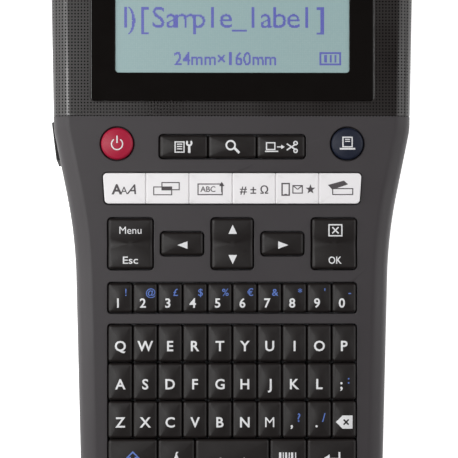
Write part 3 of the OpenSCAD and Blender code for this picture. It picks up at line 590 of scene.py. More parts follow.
def slantRod(x, y, lowDepth, highDepth, radius, sides=40):
    # upright round boss whose two ends lie parallel to the key face
    ring = [(x + radius * math.cos(2 * math.pi * k / sides), y + radius * math.sin(2 * math.pi * k / sides))
            for k in range(sides)]
    return loft("boss", [[(px, py, faceZ(py) - d / cosT) for px,
                          py in ring] for d in (lowDepth, highDepth)])


def flared(corners, radius, bottom, flare=0.3):
    # opening through the face, with its rim eased
    loop = softLoop(corners, radius)
    levels = ((bottom, 0), (-flare, 0), (-flare * 0.3, flare * 0.3), (0, flare), (1, flare + 0.3))
    return loft("opening", [[fromDeck(x + g * nx, v + g * ny, up) for x, v, nx, ny in loop] for up,
                            g in levels])


screwSpots = []
for points in solidsOf("casing_screws"):
    xs, ys, zs = ([p[i] for p in points] for i in range(3))
    screwSpots.append({"x": (min(xs) + max(xs)) / 2, "y": (min(ys) + max(ys)) / 2, "low": min(zs),
                       "high": max(zs)})
screwSpots.sort(key=lambda s: -s["y"])
screw = {"shank": 1.5, "head": 2.8, "headTall": 1.4, "rim": 2.3, "crossHalf": 1.5, "crossThick": 0.35,
         "crossDeep": 0.9}
boss = {"radius": 3.5, "neck": 1.85, "bore": 1.5, "neckDepth": 4.3}


def frontBosses(spots, neck):
    tools = []
    for s in spots:
        upTo = boss["neckDepth"] if neck else 1.2
        tools.append(slantRod(s["x"], s["y"], shell["parting"], upTo, boss["radius"]))
        if neck:
            tools.append(slantRod(s["x"], s["y"], upTo + 0.5, 1.2, boss["neck"]))
    return tools


def screwBores(spots):
    return [rod(s["x"], s["y"], s["low"] - 5, s["high"] + 1, boss["bore"]) for s in spots]


# Where the keys are comes from the CAD nodes.
opening = {"fit": 0.3, "deep": -3.4}
keyboardKeys = [n for n in nodes if n.endswith("_key")]
blackStrip = ["setup_key", "preview_key", "feed_cut_key"]
whiteStrip = ["font_key", "frame_key", "label_key", "symbol_key", "template_key", "file_key"]
rockers = ["menu_esc_key", "up_down_key", "clear_ok_key"]
digits = ["digit_%d_key" % (i % 10) for i in range(1, 11)]
bottomRow = ["shift_key", "accent_key", "space_key", "barcode_key", "enter_key"]
roundKeys = ["power_key", "print_key"]
places = {n: deckBox(n) for n in keyboardKeys}
letterPlaces = []
for points in solidsOf("letter_keys"):
    deck = [rawDeck(p * mm) for p in points]
    xs, vs = [p.x for p in deck], [p.y - midV for p in deck]
    letterPlaces.append({"x": (min(xs) + max(xs)) / 2, "v": (min(vs) + max(vs)) / 2, "w": max(xs) - min(xs),
                         "h": max(vs) - min(vs), "top": max(p.z for p in deck) - faceUp,
                         "bottom": min(p.z for p in deck) - faceUp})
letterPlaces.sort(key=lambda b: (-round(b["v"]), b["x"]))
whiteLean = 0.65


def spanOf(boxes):
    x0, x1 = min(b["x"] - b["w"] / 2 for b in boxes), max(b["x"] + b["w"] / 2 for b in boxes)
    v0, v1 = min(b["v"] - b["h"] / 2 for b in boxes), max(b["v"] + b["h"] / 2 for b in boxes)
    return x0, x1, v0, v1


def grownSpan(boxes, grow):
    x0, x1, v0, v1 = spanOf(boxes)
    return rectangle(x1 - x0 + 2 * grow, v1 - v0 + 2 * grow, (x0 + x1) / 2, (v0 + v1) / 2)


def whiteCorners(box, grow=0.0):
    # the strip is a little narrower at its foot, so the outer edge of each end key leans
    x0, x1 = box["x"] - box["w"] / 2, box["x"] + box["w"] / 2
    v0, v1 = box["v"] - box["h"] / 2, box["v"] + box["h"] / 2
    first, last = x0 < -35, x1 > 35
    return [(x1 + grow, v1 + grow), (x1 + grow - whiteLean * last, v0 - grow),
            (x0 - grow + whiteLean * first, v0 - grow), (x0 - grow, v1 + grow)]


def keyOpenings():
    fit, deep = opening["fit"], opening["deep"]
    tools = []
    for name in roundKeys:
        b = places[name]
        r = b["w"] / 2 + fit
        circle = [(b["x"] + r * math.cos(2 * math.pi * k / 48), b["v"] + r * math.sin(2 * math.pi * k / 48))
                  for k in range(48)]
        tools.append(loft("opening", [[fromDeck(b["x"] + (x - b["x"]) * g, b["v"] + (v - b["v"]) * g, up)
                                       for x, v in circle]
                                      for up, g in ((deep, 1), (-0.3, 1), (0, 1.05), (1, 1.1))]))
    for name in rockers + ["left_key", "right_key"]:
        tools.append(flared(grownSpan([places[name]], fit), 1.4, deep))
    tools.append(flared(grownSpan([places[n] for n in blackStrip], fit), 1.3, deep))
    x0, x1, v0, v1 = spanOf([places[n] for n in whiteStrip])
    wide = {"x": (x0 + x1) / 2, "w": x1 - x0, "v": (v0 + v1) / 2, "h": v1 - v0}
    tools.append(flared(whiteCorners(wide, fit), 1.5, deep))
    tools.append(flared(grownSpan([places[n] for n in digits], fit), 1.1, deep))
    tools.append(flared(grownSpan(letterPlaces + [places[n] for n in bottomRow], fit), 1.1, deep))
    return tools


# The two front shells.
big = 200                       # past every edge of the object
keyRib = {"x": 42.85, "half": 0.3, "low": -102.4, "high": -32.4, "under": -5.9, "over": -1.2}


def buildFrontCasing():
    obj = frontSolid()
    carve(obj, "INTERSECT", [deckBlock(-big, big, -big, seamV - shell["seamGap"], -big, big)])
    carve(obj, "DIFFERENCE", [frontHollow()])
    carve(obj, "UNION", frontBosses(screwSpots[2:], True))
    k = keyRib
    ribs = [deckBlock(s * k["x"] - k["half"], s * k["x"] + k["half"], k["low"], k["high"], k["under"],
                      k["over"])
            for s in (-1, 1)]
    carve(obj, "UNION", ribs)
    seam = deckBlock(-big, big, seamV - shell["grooveHalf"], seamV + 1, -big, big)
    carve(obj, "DIFFERENCE", keyOpenings() + screwBores(screwSpots[2:]) + [grooveTool(frontSolid, seam)])
    obj.name = "frontCasing"
    return finished(obj, "root", [finishes["deck"]], ["front_casing"], 28)


frontCasing = buildFrontCasing()
print("front casing:", len(frontCasing.data.polygons), "faces")

lens = deckBox("display_lens")
lensRib = {"x": 42.9, "half": 0.7, "from": 7.5, "to": 53.5, "under": -6.6, "over": -1.2}
panelHole = {"w": 79.0, "h": 49.0, "from": 30.5}
window = {"left": -37.2, "right": 37.3, "low": 22.0, "high": 62.0, "radius": 1.0}


def buildHeadFascia():
    obj = frontSolid()
    carve(obj, "INTERSECT", [deckBlock(-big, big, seamV + shell["seamGap"], big, -big, big)])
    carve(obj, "DIFFERENCE", [frontHollow()])
    carve(obj, "UNION", frontBosses(screwSpots[:2], False))
    k = lensRib
    ribs = [deckBlock(s * k["x"] - k["half"], s * k["x"] + k["half"], lens["low"] + k["from"],
                      lens["low"] + k["to"], k["under"], k["over"]) for s in (-1, 1)]
    carve(obj, "UNION", ribs)
    recess = flared(grownSpan([lens], 0.1), 1.2, -lens["top"] + lens["bottom"], 0.25)
    through = flared(rectangle(panelHole["w"], panelHole["h"], 0, lens["low"] + panelHole["from"]), 1.0,
                     opening["deep"])
    seam = deckBlock(-big, big, seamV - 1, seamV + shell["grooveHalf"], -big, big)
    carve(obj, "DIFFERENCE", [recess,
                              through] + screwBores(screwSpots[:2]) + [grooveTool(frontSolid, seam)])
    obj.name = "headFascia"
    return finished(obj, "root", [finishes["head"]], ["head_fascia"], 28)


headFascia = buildHeadFascia()
print("head fascia:", len(headFascia.data.polygons), "faces")


# Key caps.
keyForm = {"edge": 0.95, "edgeSteps": 6, "corner": 1.05, "dome": 0.42, "rockerDip": 0.85, "roundDome": 0.5,
           "whiteEdge": 0.3, "whiteDome": 0.05, "whiteCorner": 0.1, "whiteEndCorner": 1.3}
scales = (0.93, 0.82, 0.68, 0.52, 0.34, 0.16)


def domed(box, dome, dip=0.0, edge=0.7):
    # height of a key's top over (x, v): a dome, and on a rocker a fold across the middle
    def height(x, v):
        a = min(1.0, abs(x - box["x"]) / (box["w"] / 2 - edge))
        b = min(1.0, abs(v - box["v"]) / (box["h"] / 2 - edge))
        return box["top"] + dome * (1 - a * a) * (1 - b * b) - dip * (1 - b) ** 2
    return height


def keySolid(box, loop, height, edge):
    # side walls, a rounded edge, then rings that follow the height of the top towards its middle
    lower = [(x, v, box["bottom"]) for x, v, nx, nv in loop]
    rings = [lower]
    for a in quarter(keyForm["edgeSteps"]):
        inset, drop = edge * (1 - math.cos(a)), edge * (1 - math.sin(a))
        ring = [(x - inset * nx, v - inset * nv) for x, v, nx, nv in loop]
        rings.append([(x, v, height(x, v) - drop) for x, v in ring])
    for s in scales:
        inner = [(box["x"] + (x - box["x"]) * s, box["v"] + (v - box["v"]) * s) for x, v in ring]
        rings.append([(x, v, height(x, v)) for x, v in inner])
    centre = fromDeck(box["x"], box["v"], height(box["x"], box["v"]))
    return loft("key", [[fromDeck(*p) for p in ring] for ring in rings], centre)


def plainKey(box, dome=None, dip=0.0, split=4):
    dome = keyForm["dome"] if dome is None else dome
    height = domed(box, dome, dip, keyForm["edge"])
    loop = softLoop(rectangle(box["w"], box["h"], box["x"], box["v"]), keyForm["corner"], 5, split)
    return keySolid(box, loop, height, keyForm["edge"]), height


def whiteKey(box):
    height = domed(box, keyForm["whiteDome"], 0.0, keyForm["whiteEdge"])
    inner, outer = keyForm["whiteCorner"], keyForm["whiteEndCorner"]
    right, left = (outer if e else inner for e in (box["x"] > 30, box["x"] < -30))
    loop = softLoop(whiteCorners(box), [right, right, left, left], 5, 4)
    return keySolid(box, loop, height, keyForm["whiteEdge"]), height


def roundKey(box):
    r = box["w"] / 2
    loop = [(box["x"] + r * math.cos(t), box["v"] + r * math.sin(t), math.cos(t), math.sin(t))
            for t in (2 * math.pi * k / 64 for k in range(64))]

    def height(x, v):
        away = math.hypot(x - box["x"], v - box["v"]) / (r - keyForm["edge"])
        return box["top"] + keyForm["roundDome"] * (1 - min(1.0, away * away))
    return keySolid(box, loop, height, keyForm["edge"]), height


heights = {}
for name in keyboardKeys:
    box = places[name]
    if name in whiteStrip:
        obj, heights[name] = whiteKey(box)
        look, slotName = "keyWhite", "key_white"
    elif name in roundKeys:
        obj, heights[name] = roundKey(box)
        look, slotName = ("keyRed", "key_red") if name == "power_key" else ("keyNavy", "key_navy")
    elif name in rockers:
        obj, heights[name] = plainKey({**box, "top": box["top"] + 0.1}, 0.3, keyForm["rockerDip"], 8)
        look, slotName = "keyBlack", "key_black"
    else:
        obj, heights[name] = plainKey(box)
        look, slotName = "keyBlack", "key_black"
    obj.name = name + "_cap"
    finished(obj, name, [finishes[look]], [name], 40)

divider = {"lower": 0.25, "shorter": 0.2, "fit": 0.15}


def buildDividers():
    # pale webs between the keys of the white strip, a little lower than their tops
    spans = [places[n] for n in whiteStrip]
    top, low = spans[0]["top"] - divider["lower"], spans[0]["bottom"]
    reach = spans[0]["h"] / 2 - divider["shorter"]
    v0, v1 = spans[0]["v"] - reach, spans[0]["v"] + reach
    webs = []
    for a, b in zip(spans, spans[1:]):
        left, right = a["x"] + a["w"] / 2, b["x"] - b["w"] / 2
        fit = (right - left) * divider["fit"]
        webs.append(deckBlock(left + fit, right - fit, v0, v1, low, top))
    finished(join("stripDividers", webs), "root", [finishes["keyWhite"]], (), 30)


buildDividers()
letterCaps = [plainKey(box) for box in letterPlaces]
letterHeights = [height for cap, height in letterCaps]
finished(join("letterCaps", [cap for cap, height in letterCaps]), "letter_keys",
         [finishes["keyBlack"]], ["letter_keys"], 40)
print("keys made:", len(keyboardKeys) + len(letterCaps))


# Legends are thin inlays that follow the tops of the caps.
legend = {"proud": 0.035, "sunk": 0.12, "cell": 0.9}


def lettering(text, weight=0.01, slant=0.0):
    curve = bpy.data.curves.new("legend", "FONT")
    curve.body, curve.size, curve.shear = text, 1.0, slant
    curve.offset = 0.0 if "M" in text else weight        # a thickened M would cross itself
    curve.resolution_u, curve.extrude = 3, 0.5
    return curveMesh(curve)


def outlineShape(loops):
    # flat shape from closed outlines; one inside another is a hole
    curve = bpy.data.curves.new("icon", "CURVE")
    curve.dimensions, curve.fill_mode, curve.extrude = "2D", "BOTH", 0.5
    for loop in loops:
        spline = curve.splines.new("POLY")
        spline.points.add(len(loop) - 1)
        for point, (x, y) in zip(spline.points, loop):
            point.co = (x, y, 0, 1)
        spline.use_cyclic_u = True
    return curveMesh(curve)


def curveMesh(curve):
    obj = bpy.data.objects.new("flat", curve)
    bpy.context.scene.collection.objects.link(obj)
    mesh = bpy.data.meshes.new_from_object(obj.evaluated_get(bpy.context.evaluated_depsgraph_get()))
    bpy.data.objects.remove(obj)
    flat = bpy.data.objects.new("flat", mesh)
    bpy.context.scene.collection.objects.link(flat)
    return flat


def extent(obj):
    xs, ys = [v.co.x for v in obj.data.vertices], [v.co.y for v in obj.data.vertices]
    return min(xs), max(xs), min(ys), max(ys)


def fitted(obj, height=None, width=None):
    # scales a flat mesh to a height or width in millimetres, and centres it
    x0, x1, y0, y1 = extent(obj)
    sy = height / (y1 - y0) if height else width / (x1 - x0)
    sx = width / (x1 - x0) if width else sy
    for v in obj.data.vertices:
        v.co.x, v.co.y = (v.co.x - (x0 + x1) / 2) * sx, (v.co.y - (y0 + y1) / 2) * sy
    return obj


def laid(obj, x, v, height):
    # cuts the mesh finely enough to follow a curved top, and lays it there as a thin closed inlay
    bm = bmesh.new()
    bm.from_mesh(obj.data)
    bmesh.ops.remove_doubles(bm, verts=bm.verts, dist=1e-4)
    x0, x1, y0, y1 = extent(obj)
    for axis, low, high in ((0, x0, x1), (1, y0, y1)):
        count = int((high - low) / legend["cell"])
        for k in range(1, count + 1):
            at, normal = [0, 0, 0], [0, 0, 0]
            at[axis], normal[axis] = low + (high - low) * k / (count + 1), 1
            bmesh.ops.bisect_plane(bm, geom=bm.verts[:] + bm.edges[:] + bm.faces[:], plane_co=at,
                                   plane_no=normal)
    for vert in bm.verts:
        px, pv = vert.co.x + x, vert.co.y + v
        vert.co = fromDeck(px, pv, height(px, pv) + (legend["proud"] if vert.co.z > 0 else -legend["sunk"]))
    bmesh.ops.recalc_face_normals(bm, faces=bm.faces)
    bm.to_mesh(obj.data)
    bm.free()
    return obj


def legendPiece(name, body, look, parts):
    if parts:
        finished(join(name, parts), body, [finishes[look]], (), 40, False)


letterRows = ["QWERTYUIOP", "ASDFGHJKL;", "ZXCVBNM,.<"]
letterMark = {"cap": 3.1, "down": 0.8, "weight": 0.02}
punctuation = {";": ":", ",": "?", ".": "/"}
whiteMarks, blueMarks = [], []


def backspaceTag(w=5.3, h=4.2):
    tag = [(-w / 2, 0), (-w / 2 + h / 2, h / 2), (w / 2, h / 2), (w / 2, -h / 2), (-w / 2 + h / 2, -h / 2)]
    cross = crossLoop(2.0, 0.5)
    return outlineShape([tag, [(x + 0.6, y) for x, y in cross]])


def crossLoop(size, thick):
    # outline of an x
    a, b = size / 2, thick / math.sqrt(2)
    quad = [(a, a - b), (b, 0), (a, b - a), (a - b, -a), (0, -b), (b - a, -a), (-a, b - a), (-b, 0),
            (-a, a - b), (b - a, a), (0, b), (a - b, a)]
    return quad


measure = lettering("H", 0.0)
capHeight = extent(measure)[3]
bpy.data.objects.remove(measure)


def glyph(text, cap, weight=0.012, slant=0.0):
    # one or more characters scaled so that a capital would be cap high, centred in x, baseline at 0
    obj = lettering(text, weight, slant)
    x0, x1, y0, y1 = extent(obj)
    s = cap / capHeight
    for v in obj.data.vertices:
        v.co.x, v.co.y = (v.co.x - (x0 + x1) / 2) * s, v.co.y * s
    return obj


for i, box in enumerate(letterPlaces):
    mark = letterRows[i // 10][i % 10]
    v = box["v"] - letterMark["down"]
    if mark == "<":
        whiteMarks.append(laid(backspaceTag(), box["x"], v, letterHeights[i]))
        continue
    base = v - letterMark["cap"] / 2
    shift = -0.9 if mark in punctuation else 0.0
    whiteMarks.append(laid(glyph(mark, letterMark["cap"], letterMark["weight"]), box["x"] + shift, base,
                           letterHeights[i]))
    if mark in punctuation:
        blueMarks.append(laid(glyph(punctuation[mark], 2.6, 0.01), box["x"] + 1.4, base + 1.7,
                              letterHeights[i]))
legendPiece("letterLegends", "letter_keys", "white", whiteMarks)
legendPiece("letterSigns", "letter_keys", "blue", blueMarks)

for i, name in enumerate(digits):
    box, height = places[name], heights[name]
    mark = laid(glyph(name[6], 2.8, 0.02), box["x"] - 0.75, box["v"] - 3.0, height)
    legendPiece(name + "_legend", name, "white", [mark])
    sign = laid(glyph("!@£$%€&*'-"[i], 2.2, 0.008), box["x"] + 1.75, box["v"] + 0.7, height)
    legendPiece(name + "_sign", name, "blue", [sign])


def triangle(w, h, turn):
    # points up at turn 0, and left at turn 90
    t = math.radians(turn)
    shape = [(0, h / 2), (w / 2, -h / 2), (-w / 2, -h / 2)]
    return [(x * math.cos(t) - y * math.sin(t), x * math.sin(t) + y * math.cos(t)) for x, y in shape]


def frameLoops(w, h, thick, x=0.0, y=0.0):
    return [rectangle(w, h, x, y), rectangle(w - 2 * thick, h - 2 * thick, x, y)]


def circleLoop(r, x=0.0, y=0.0, count=28, start=0.0, stop=360.0):
    whole = stop - start >= 360
    n = count if whole else count + 1
    return [(x + r * math.cos(math.radians(start + (stop - start) * k / count)),
             y + r * math.sin(math.radians(start + (stop - start) * k / count))) for k in range(n)]


def arcBand(r, thick, start, stop):
    outer = circleLoop(r, 0, 0, 28, start, stop)
    inner = circleLoop(r - thick, 0, 0, 28, start, stop)
    return outer + inner[::-1]


def bar(x0, y0, x1, y1, thick):
    along = Vector((x1 - x0, y1 - y0)).normalized() * 1.0
    side = Vector((-along.y, along.x)) * thick / 2
    return [(x0 + side.x, y0 + side.y), (x1 + side.x, y1 + side.y), (x1 - side.x, y1 - side.y),
            (x0 - side.x, y0 - side.y)]


def starLoop(r):
    return [((r if k % 2 == 0 else r * 0.42) * math.sin(math.pi * k / 5),
             (r if k % 2 == 0 else r * 0.42) * math.cos(math.pi * k / 5)) for k in range(10)]


def stamp(name, looks):
    # looks maps a finish to a list of (mesh, x offset, v offset) from the key's middle
    box, height = places[name], heights[name]
    for look, marks in looks.items():
        parts = [laid(obj, box["x"] + dx, box["v"] + dv, height) for obj, dx, dv in marks]
        legendPiece(name + "_" + look, name, look, parts)


stamp("power_key", {"white": [(outlineShape([arcBand(1.95, 0.38, 125, 415)]), 0, -0.15),
                              (outlineShape([bar(0, 0.2, 0, 2.5, 0.42)]), 0, 0)]})
page = frameLoops(3.3, 3.4, 0.38, 0, 0.2)
stamp("print_key", {"white": [(outlineShape(page), 0, 0.35),
                              (outlineShape([bar(-0.8, 0, 0.8, 0, 0.3)]), 0, 1.4),
                              (outlineShape([bar(-0.8, 0, 0.8, 0, 0.3)]), 0, 0.75),
                              (outlineShape([rectangle(4.9, 0.55)]), 0, -1.6)]})
stamp("setup_key", {"white": [
    (outlineShape(frameLoops(3.2, 3.6, 0.36)), -1.3, -0.15),
    (outlineShape([rectangle(1.7, 0.34)]), -1.3, 0.75), (outlineShape([rectangle(1.7, 0.34)]), -1.3, 0.0),
    (outlineShape([rectangle(1.7, 0.34)]), -1.3, -0.75),
    (outlineShape([bar(0, -1.9, 0, 0.4, 0.75)]), 1.75, -0.1),
    (outlineShape([arcBand(1.05, 0.6, 130, 410)]), 1.75, 1.1)]})
stamp("preview_key", {"white": [(outlineShape([circleLoop(1.65), circleLoop(1.1)]), -0.55, 0.45),
                                (outlineShape([bar(0.5, -0.5, 2.1, -2.1, 0.75)]), 0.1, 0.1)]})
stamp("feed_cut_key", {"white": [
    (outlineShape(frameLoops(3.0, 2.5, 0.36)), -3.3, 0.15),
    (outlineShape([rectangle(4.2, 0.4)]), -3.0, -1.5), (outlineShape([rectangle(1.4, 0.34)]), -0.6, -0.1),
    (outlineShape([triangle(1.4, 1.1, -90)]), 0.6, -0.1),
    (outlineShape([bar(-1.4, 1.0, 1.5, -0.9, 0.42)]), 3.2, -0.1),
    (outlineShape([bar(-1.4, -1.0, 1.5, 0.9, 0.42)]), 3.2, -0.1),
    (outlineShape([circleLoop(0.75), circleLoop(0.36)]), 4.6, 1.1),
    (outlineShape([circleLoop(0.75), circleLoop(0.36)]), 4.6, -1.3)]})
lower, upper = -5.2, 4.3
stamp("menu_esc_key", {"white": [(fitted(lettering("Menu"), 2.3, 7.0), 0, upper),
                                 (fitted(lettering("Esc"), 2.3, 4.8), 0, lower)]})
stamp("up_down_key", {"white": [(outlineShape([triangle(2.7, 2.9, 0)]), 0.1, upper + 0.3),
                                (outlineShape([triangle(2.7, 2.9, 180)]), 0.1, lower + 0.2)]})
stamp("clear_ok_key", {"white": [(outlineShape(frameLoops(4.5, 3.9, 0.4)), 0.4, upper),
                                 (outlineShape([crossLoop(2.3, 0.42)]), 0.4, upper),
                                 (fitted(lettering("OK"), 2.35, 4.2), 0.3, lower)]})
stamp("left_key", {"white": [(outlineShape([triangle(2.4, 3.2, 90)]), 0.1, -0.4)]})
stamp("right_key", {"white": [(outlineShape([triangle(2.4, 3.2, -90)]), 0.2, -0.4)]})

stamp("font_key", {"dark": [(glyph("A", 3.0, 0.03), -2.3, -1.8), (glyph("A", 2.3, 0.0), 0.0, -1.8),
                            (glyph("A", 3.0, 0.01, 0.35), 2.3, -1.8)]})
stamp("frame_key", {"dark": [(outlineShape(frameLoops(6.0, 2.8, 0.32)), -1.5, -0.8),
                             (outlineShape(frameLoops(5.8, 2.6, 0.32)), 1.0, 0.7),
                             (outlineShape([rectangle(3.2, 1.1)]), -0.2, -0.1)]})
stamp("label_key", {"dark": [(outlineShape(frameLoops(8.0, 3.7, 0.34)), -0.2, -0.3),
                             (glyph("ABC", 1.7, 0.01), -0.9, -1.1),
                             (outlineShape([triangle(1.7, 1.4, 0)]), 3.5, 1.4),
                             (outlineShape([bar(0, -1.4, 0, 0.8, 0.4)]), 3.5, 0.2)]})
stamp("symbol_key", {"dark": [(fitted(lettering("# ± Ω", 0.012), 3.0, 9.0), 0, -0.5)]})
stamp("template_key", {"dark": [(outlineShape(frameLoops(2.7, 4.1, 0.42)), -3.7, -0.3),
                                (outlineShape([rectangle(0.8, 0.3)]), -3.7, -1.9),
                                (outlineShape(frameLoops(3.3, 2.7, 0.32)), 0.1, -0.3),
                                (outlineShape([bar(-1.5, 1.2, 0, 0, 0.3)]), 0.1, -0.3),
                                (outlineShape([bar(1.5, 1.2, 0, 0, 0.3)]), 0.1, -0.3),
                                (outlineShape([starLoop(1.6)]), 4.2, -0.3)]})
slab = [(-3.2, 0.3), (1.9, 1.7), (3.2, 0.5), (-1.8, -1.2)]
stamp("file_key", {"dark": [(outlineShape([slab]), -0.8, 0.8),
                            (outlineShape(frameLoops(6.7, 2.2, 0.32)), 0.7, -1.0)]})
arrowUp = [(0, 2.2), (2.2, 0), (1.0, 0), (1.0, -1.8), (-1.0, -1.8), (-1.0, 0), (-2.2, 0)]
innerArrow = [(0, 1.55), (1.25, 0.4), (0.6, 0.4), (0.6, -1.4), (-0.6, -1.4), (-0.6, 0.4), (-1.25, 0.4)]
stamp("shift_key", {"blue": [(outlineShape([arrowUp, innerArrow]), 0, 0)]})
stamp("accent_key", {"white": [(glyph("Á", 3.0, 0.02), 0, -2.0)]})
stamp("space_key", {"white": [(outlineShape([[(-4, 0.6), (-3.5, 0.6), (-3.5, -0.4), (3.5, -0.4),
                                              (3.5, 0.6), (4, 0.6),
                                             (4, -0.9), (-4, -0.9)]]), 0, -0.6)]})
stamp("barcode_key", {"white": [(outlineShape([rectangle(w, 3.4)]), x, 0) for x, w in
                                ((-2.6, 0.7), (-1.6, 0.35), (-0.7, 0.6), (0.3, 0.35), (1.2, 0.7),
                                 (2.3, 0.35))]})
stamp("enter_key", {"white": [(outlineShape([triangle(3.0, 2.2, 90)]), -1.8, -0.4),
                              (outlineShape([rectangle(3.6, 0.6)]), 0.8, -0.4),
                              (outlineShape([rectangle(0.6, 2.4)]), 2.4, 0.6)]})
print("legends laid")


# The lens, and the crystal panel with what it shows.
panel = {"up": -0.35, "thick": 1.1, "dot": 0.27, "pitch": 0.3, "line": "1)[Sample_label]", "lineCap": 6.6,
         "weight": 0.0, "firstShift": 2.4, "noteWeight": 0.012,
         "lineBase": 36.3, "charPitch": 4.285, "lastChar": 28.0, "noteCap": 4.1, "noteBase": 24.4,
         "note": "24mm×160mm",
         "noteLeft": -18.4, "noteRight": 14.0}


def buildLens():
    loop = softLoop(rectangle(lens["w"], lens["h"], lens["x"], lens["v"]), 1.3, 6)
    top = lens["top"]
    levels = [(lens["bottom"], 0), (top - 0.14, 0), (top - 0.05, 0.03), (top, 0.12)]
    obj = loft("lensBezel", [[fromDeck(x - g * nx, v - g * nv, up) for x, v, nx, nv in loop] for up,
                             g in levels])
    w, h = window["right"] - window["left"], window["high"] - window["low"]
    cx, cv = (window["right"] + window["left"]) / 2, (window["high"] + window["low"]) / 2
    hole = softLoop(rectangle(w, h, cx, cv), window["radius"], 6)
    tool = loft("hole", [[fromDeck(x + g * nx, v + g * nv, up) for x, v, nx, nv in hole]
                         for up, g in ((-3, 0), (top - 0.12, 0), (top + 0.01, 0.12), (1, 0.12))])
    carve(obj, "DIFFERENCE", [tool])
    finished(obj, "root", [finishes["lens"]], ["display_lens"], 30)
    plate = softLoop(rectangle(w - 0.04, h - 0.04, cx, cv), window["radius"], 6)
    levels = [(panel["up"] - panel["thick"], 0), (panel["up"] - 0.05, 0), (panel["up"], 0.05)]
    glass = loft("crystalPanel", [[fromDeck(x - g * nx, v - g * nv, up) for x, v, nx, nv in plate] for up,
                                  g in levels])
    finished(glass, "root", [finishes["panel"]], (), 30)


def dotsFor(obj, x, base):
    # the dots of a fixed lattice that fall inside a flat shape
    mesh = obj.data
    tree = BVHTree.FromPolygons([v.co for v in mesh.vertices], [tuple(p.vertices) for p in mesh.polygons])
    x0, x1, y0, y1 = extent(obj)
    pitch, found = panel["pitch"], []
    for i in range(math.floor((x + x0) / pitch), math.ceil((x + x1) / pitch) + 1):
        for j in range(math.floor(y0 / pitch), math.ceil(y1 / pitch) + 1):
            if tree.ray_cast(Vector((i * pitch - x, j * pitch + pitch / 2, 2)), Vector((0, 0, -1)))[0]:
                found.append((i * pitch, base + j * pitch + pitch / 2))
    bpy.data.objects.remove(obj)
    return found


def dotPiece(name, dots):
    half, verts, faces = panel["dot"] / 2, [], []
    for x, v in dots:
        n = len(verts)
        corner = [(x - half, v - half), (x + half, v - half), (x + half, v + half), (x - half, v + half)]
        verts += [fromDeck(px, pv, panel["up"] - 0.1) for px, pv in corner]
        verts += [fromDeck(px, pv, panel["up"] + 0.012) for px, pv in corner]
        faces += [(n, n + 3, n + 2, n + 1), (n + 4, n + 5, n + 6, n + 7)]
        faces += [(n + k, n + (k + 1) % 4, n + 4 + (k + 1) % 4, n + 4 + k) for k in range(4)]
    return finished(newMesh(name, verts, faces), "root", [finishes["lcdInk"]], (), 0, False)


def buildReadout():
    dots = []
    line = panel["line"]
    for k, mark in enumerate(line):
        shift = panel["firstShift"] if k == 0 else 0.0
        x = panel["lastChar"] - (len(line) - 1 - k) * panel["charPitch"] + shift
        dots += dotsFor(glyph(mark, panel["lineCap"], panel["weight"]), x, panel["lineBase"])
    dots = [d for d in dots if d[0] > window["left"] + panel["dot"]]
    note = lettering(panel["note"], panel["noteWeight"])
    x0, x1, y0, y1 = extent(note)
    sx, sy = (panel["noteRight"] - panel["noteLeft"]) / (x1 - x0), panel["noteCap"] / capHeight
    for v in note.data.vertices:
        v.co.x, v.co.y = (v.co.x - (x0 + x1) / 2) * sx, v.co.y * sy
    dots += dotsFor(note, (panel["noteLeft"] + panel["noteRight"]) / 2, panel["noteBase"])
    battery = frameLoops(6.9, 4.2, 0.58) + [rectangle(0.75, 2.2, -1.6 + 1.6 * k) for k in range(3)]
    dots += dotsFor(outlineShape(battery), 31.3, 26.5)
    dotPiece("readout", sorted(set((round(x, 4), round(v, 4)) for x, v in dots)))


buildLens()
buildReadout()
print("lens and readout made")


# Fine pores all over the head, made by Geometry Nodes. Each pore is a small near-black disc, and that
# darkness is painted shade standing in for the shadow inside the pore.
pores = {"pitch": 1.0, "radius": 0.27, "high": 0.012, "span": 116.0, "lensGap": 0.3, "steep": 0.35,
         "to": 122.5, "above": 8.0}


def nodeTree(name, inputs):
    tree = bpy.data.node_groups.new(name, "GeometryNodeTree")
    tree.interface.new_socket("Geometry", in_out="INPUT", socket_type="NodeSocketGeometry")
    for label, kind, value in inputs:
        socket = tree.interface.new_socket(label, in_out="INPUT", socket_type=kind)
        if value is not None:
            socket.default_value = value
    tree.interface.new_socket("Geometry", in_out="OUTPUT", socket_type="NodeSocketGeometry")
    return tree, tree.nodes.new("NodeGroupInput"), tree.nodes.new("NodeGroupOutput")


def treeNode(tree, kind, settings, sockets):
    made = tree.nodes.new(kind)
    for key, value in settings.items():
        setattr(made, key, value)
    for key, value in sockets.items():
        if isinstance(value, bpy.types.NodeSocket):
            tree.links.new(value, made.inputs[key])
        else:
            made.inputs[key].default_value = value
    return made


def runTree(host, tree, values, name):
    # sets the named inputs, and turns the result into a plain mesh of its own
    mod = host.modifiers.new("nodes", "NODES")
    mod.node_group = tree
    for item in tree.interface.items_tree:
        if item.item_type == "SOCKET" and item.in_out == "INPUT" and item.name in values:
            mod[item.identifier] = values[item.name]
    mesh = bpy.data.meshes.new_from_object(host.evaluated_get(bpy.context.evaluated_depsgraph_get()))
    host.modifiers.remove(mod)
    obj = bpy.data.objects.new(name, mesh)
    bpy.context.scene.collection.objects.link(obj)
    return obj


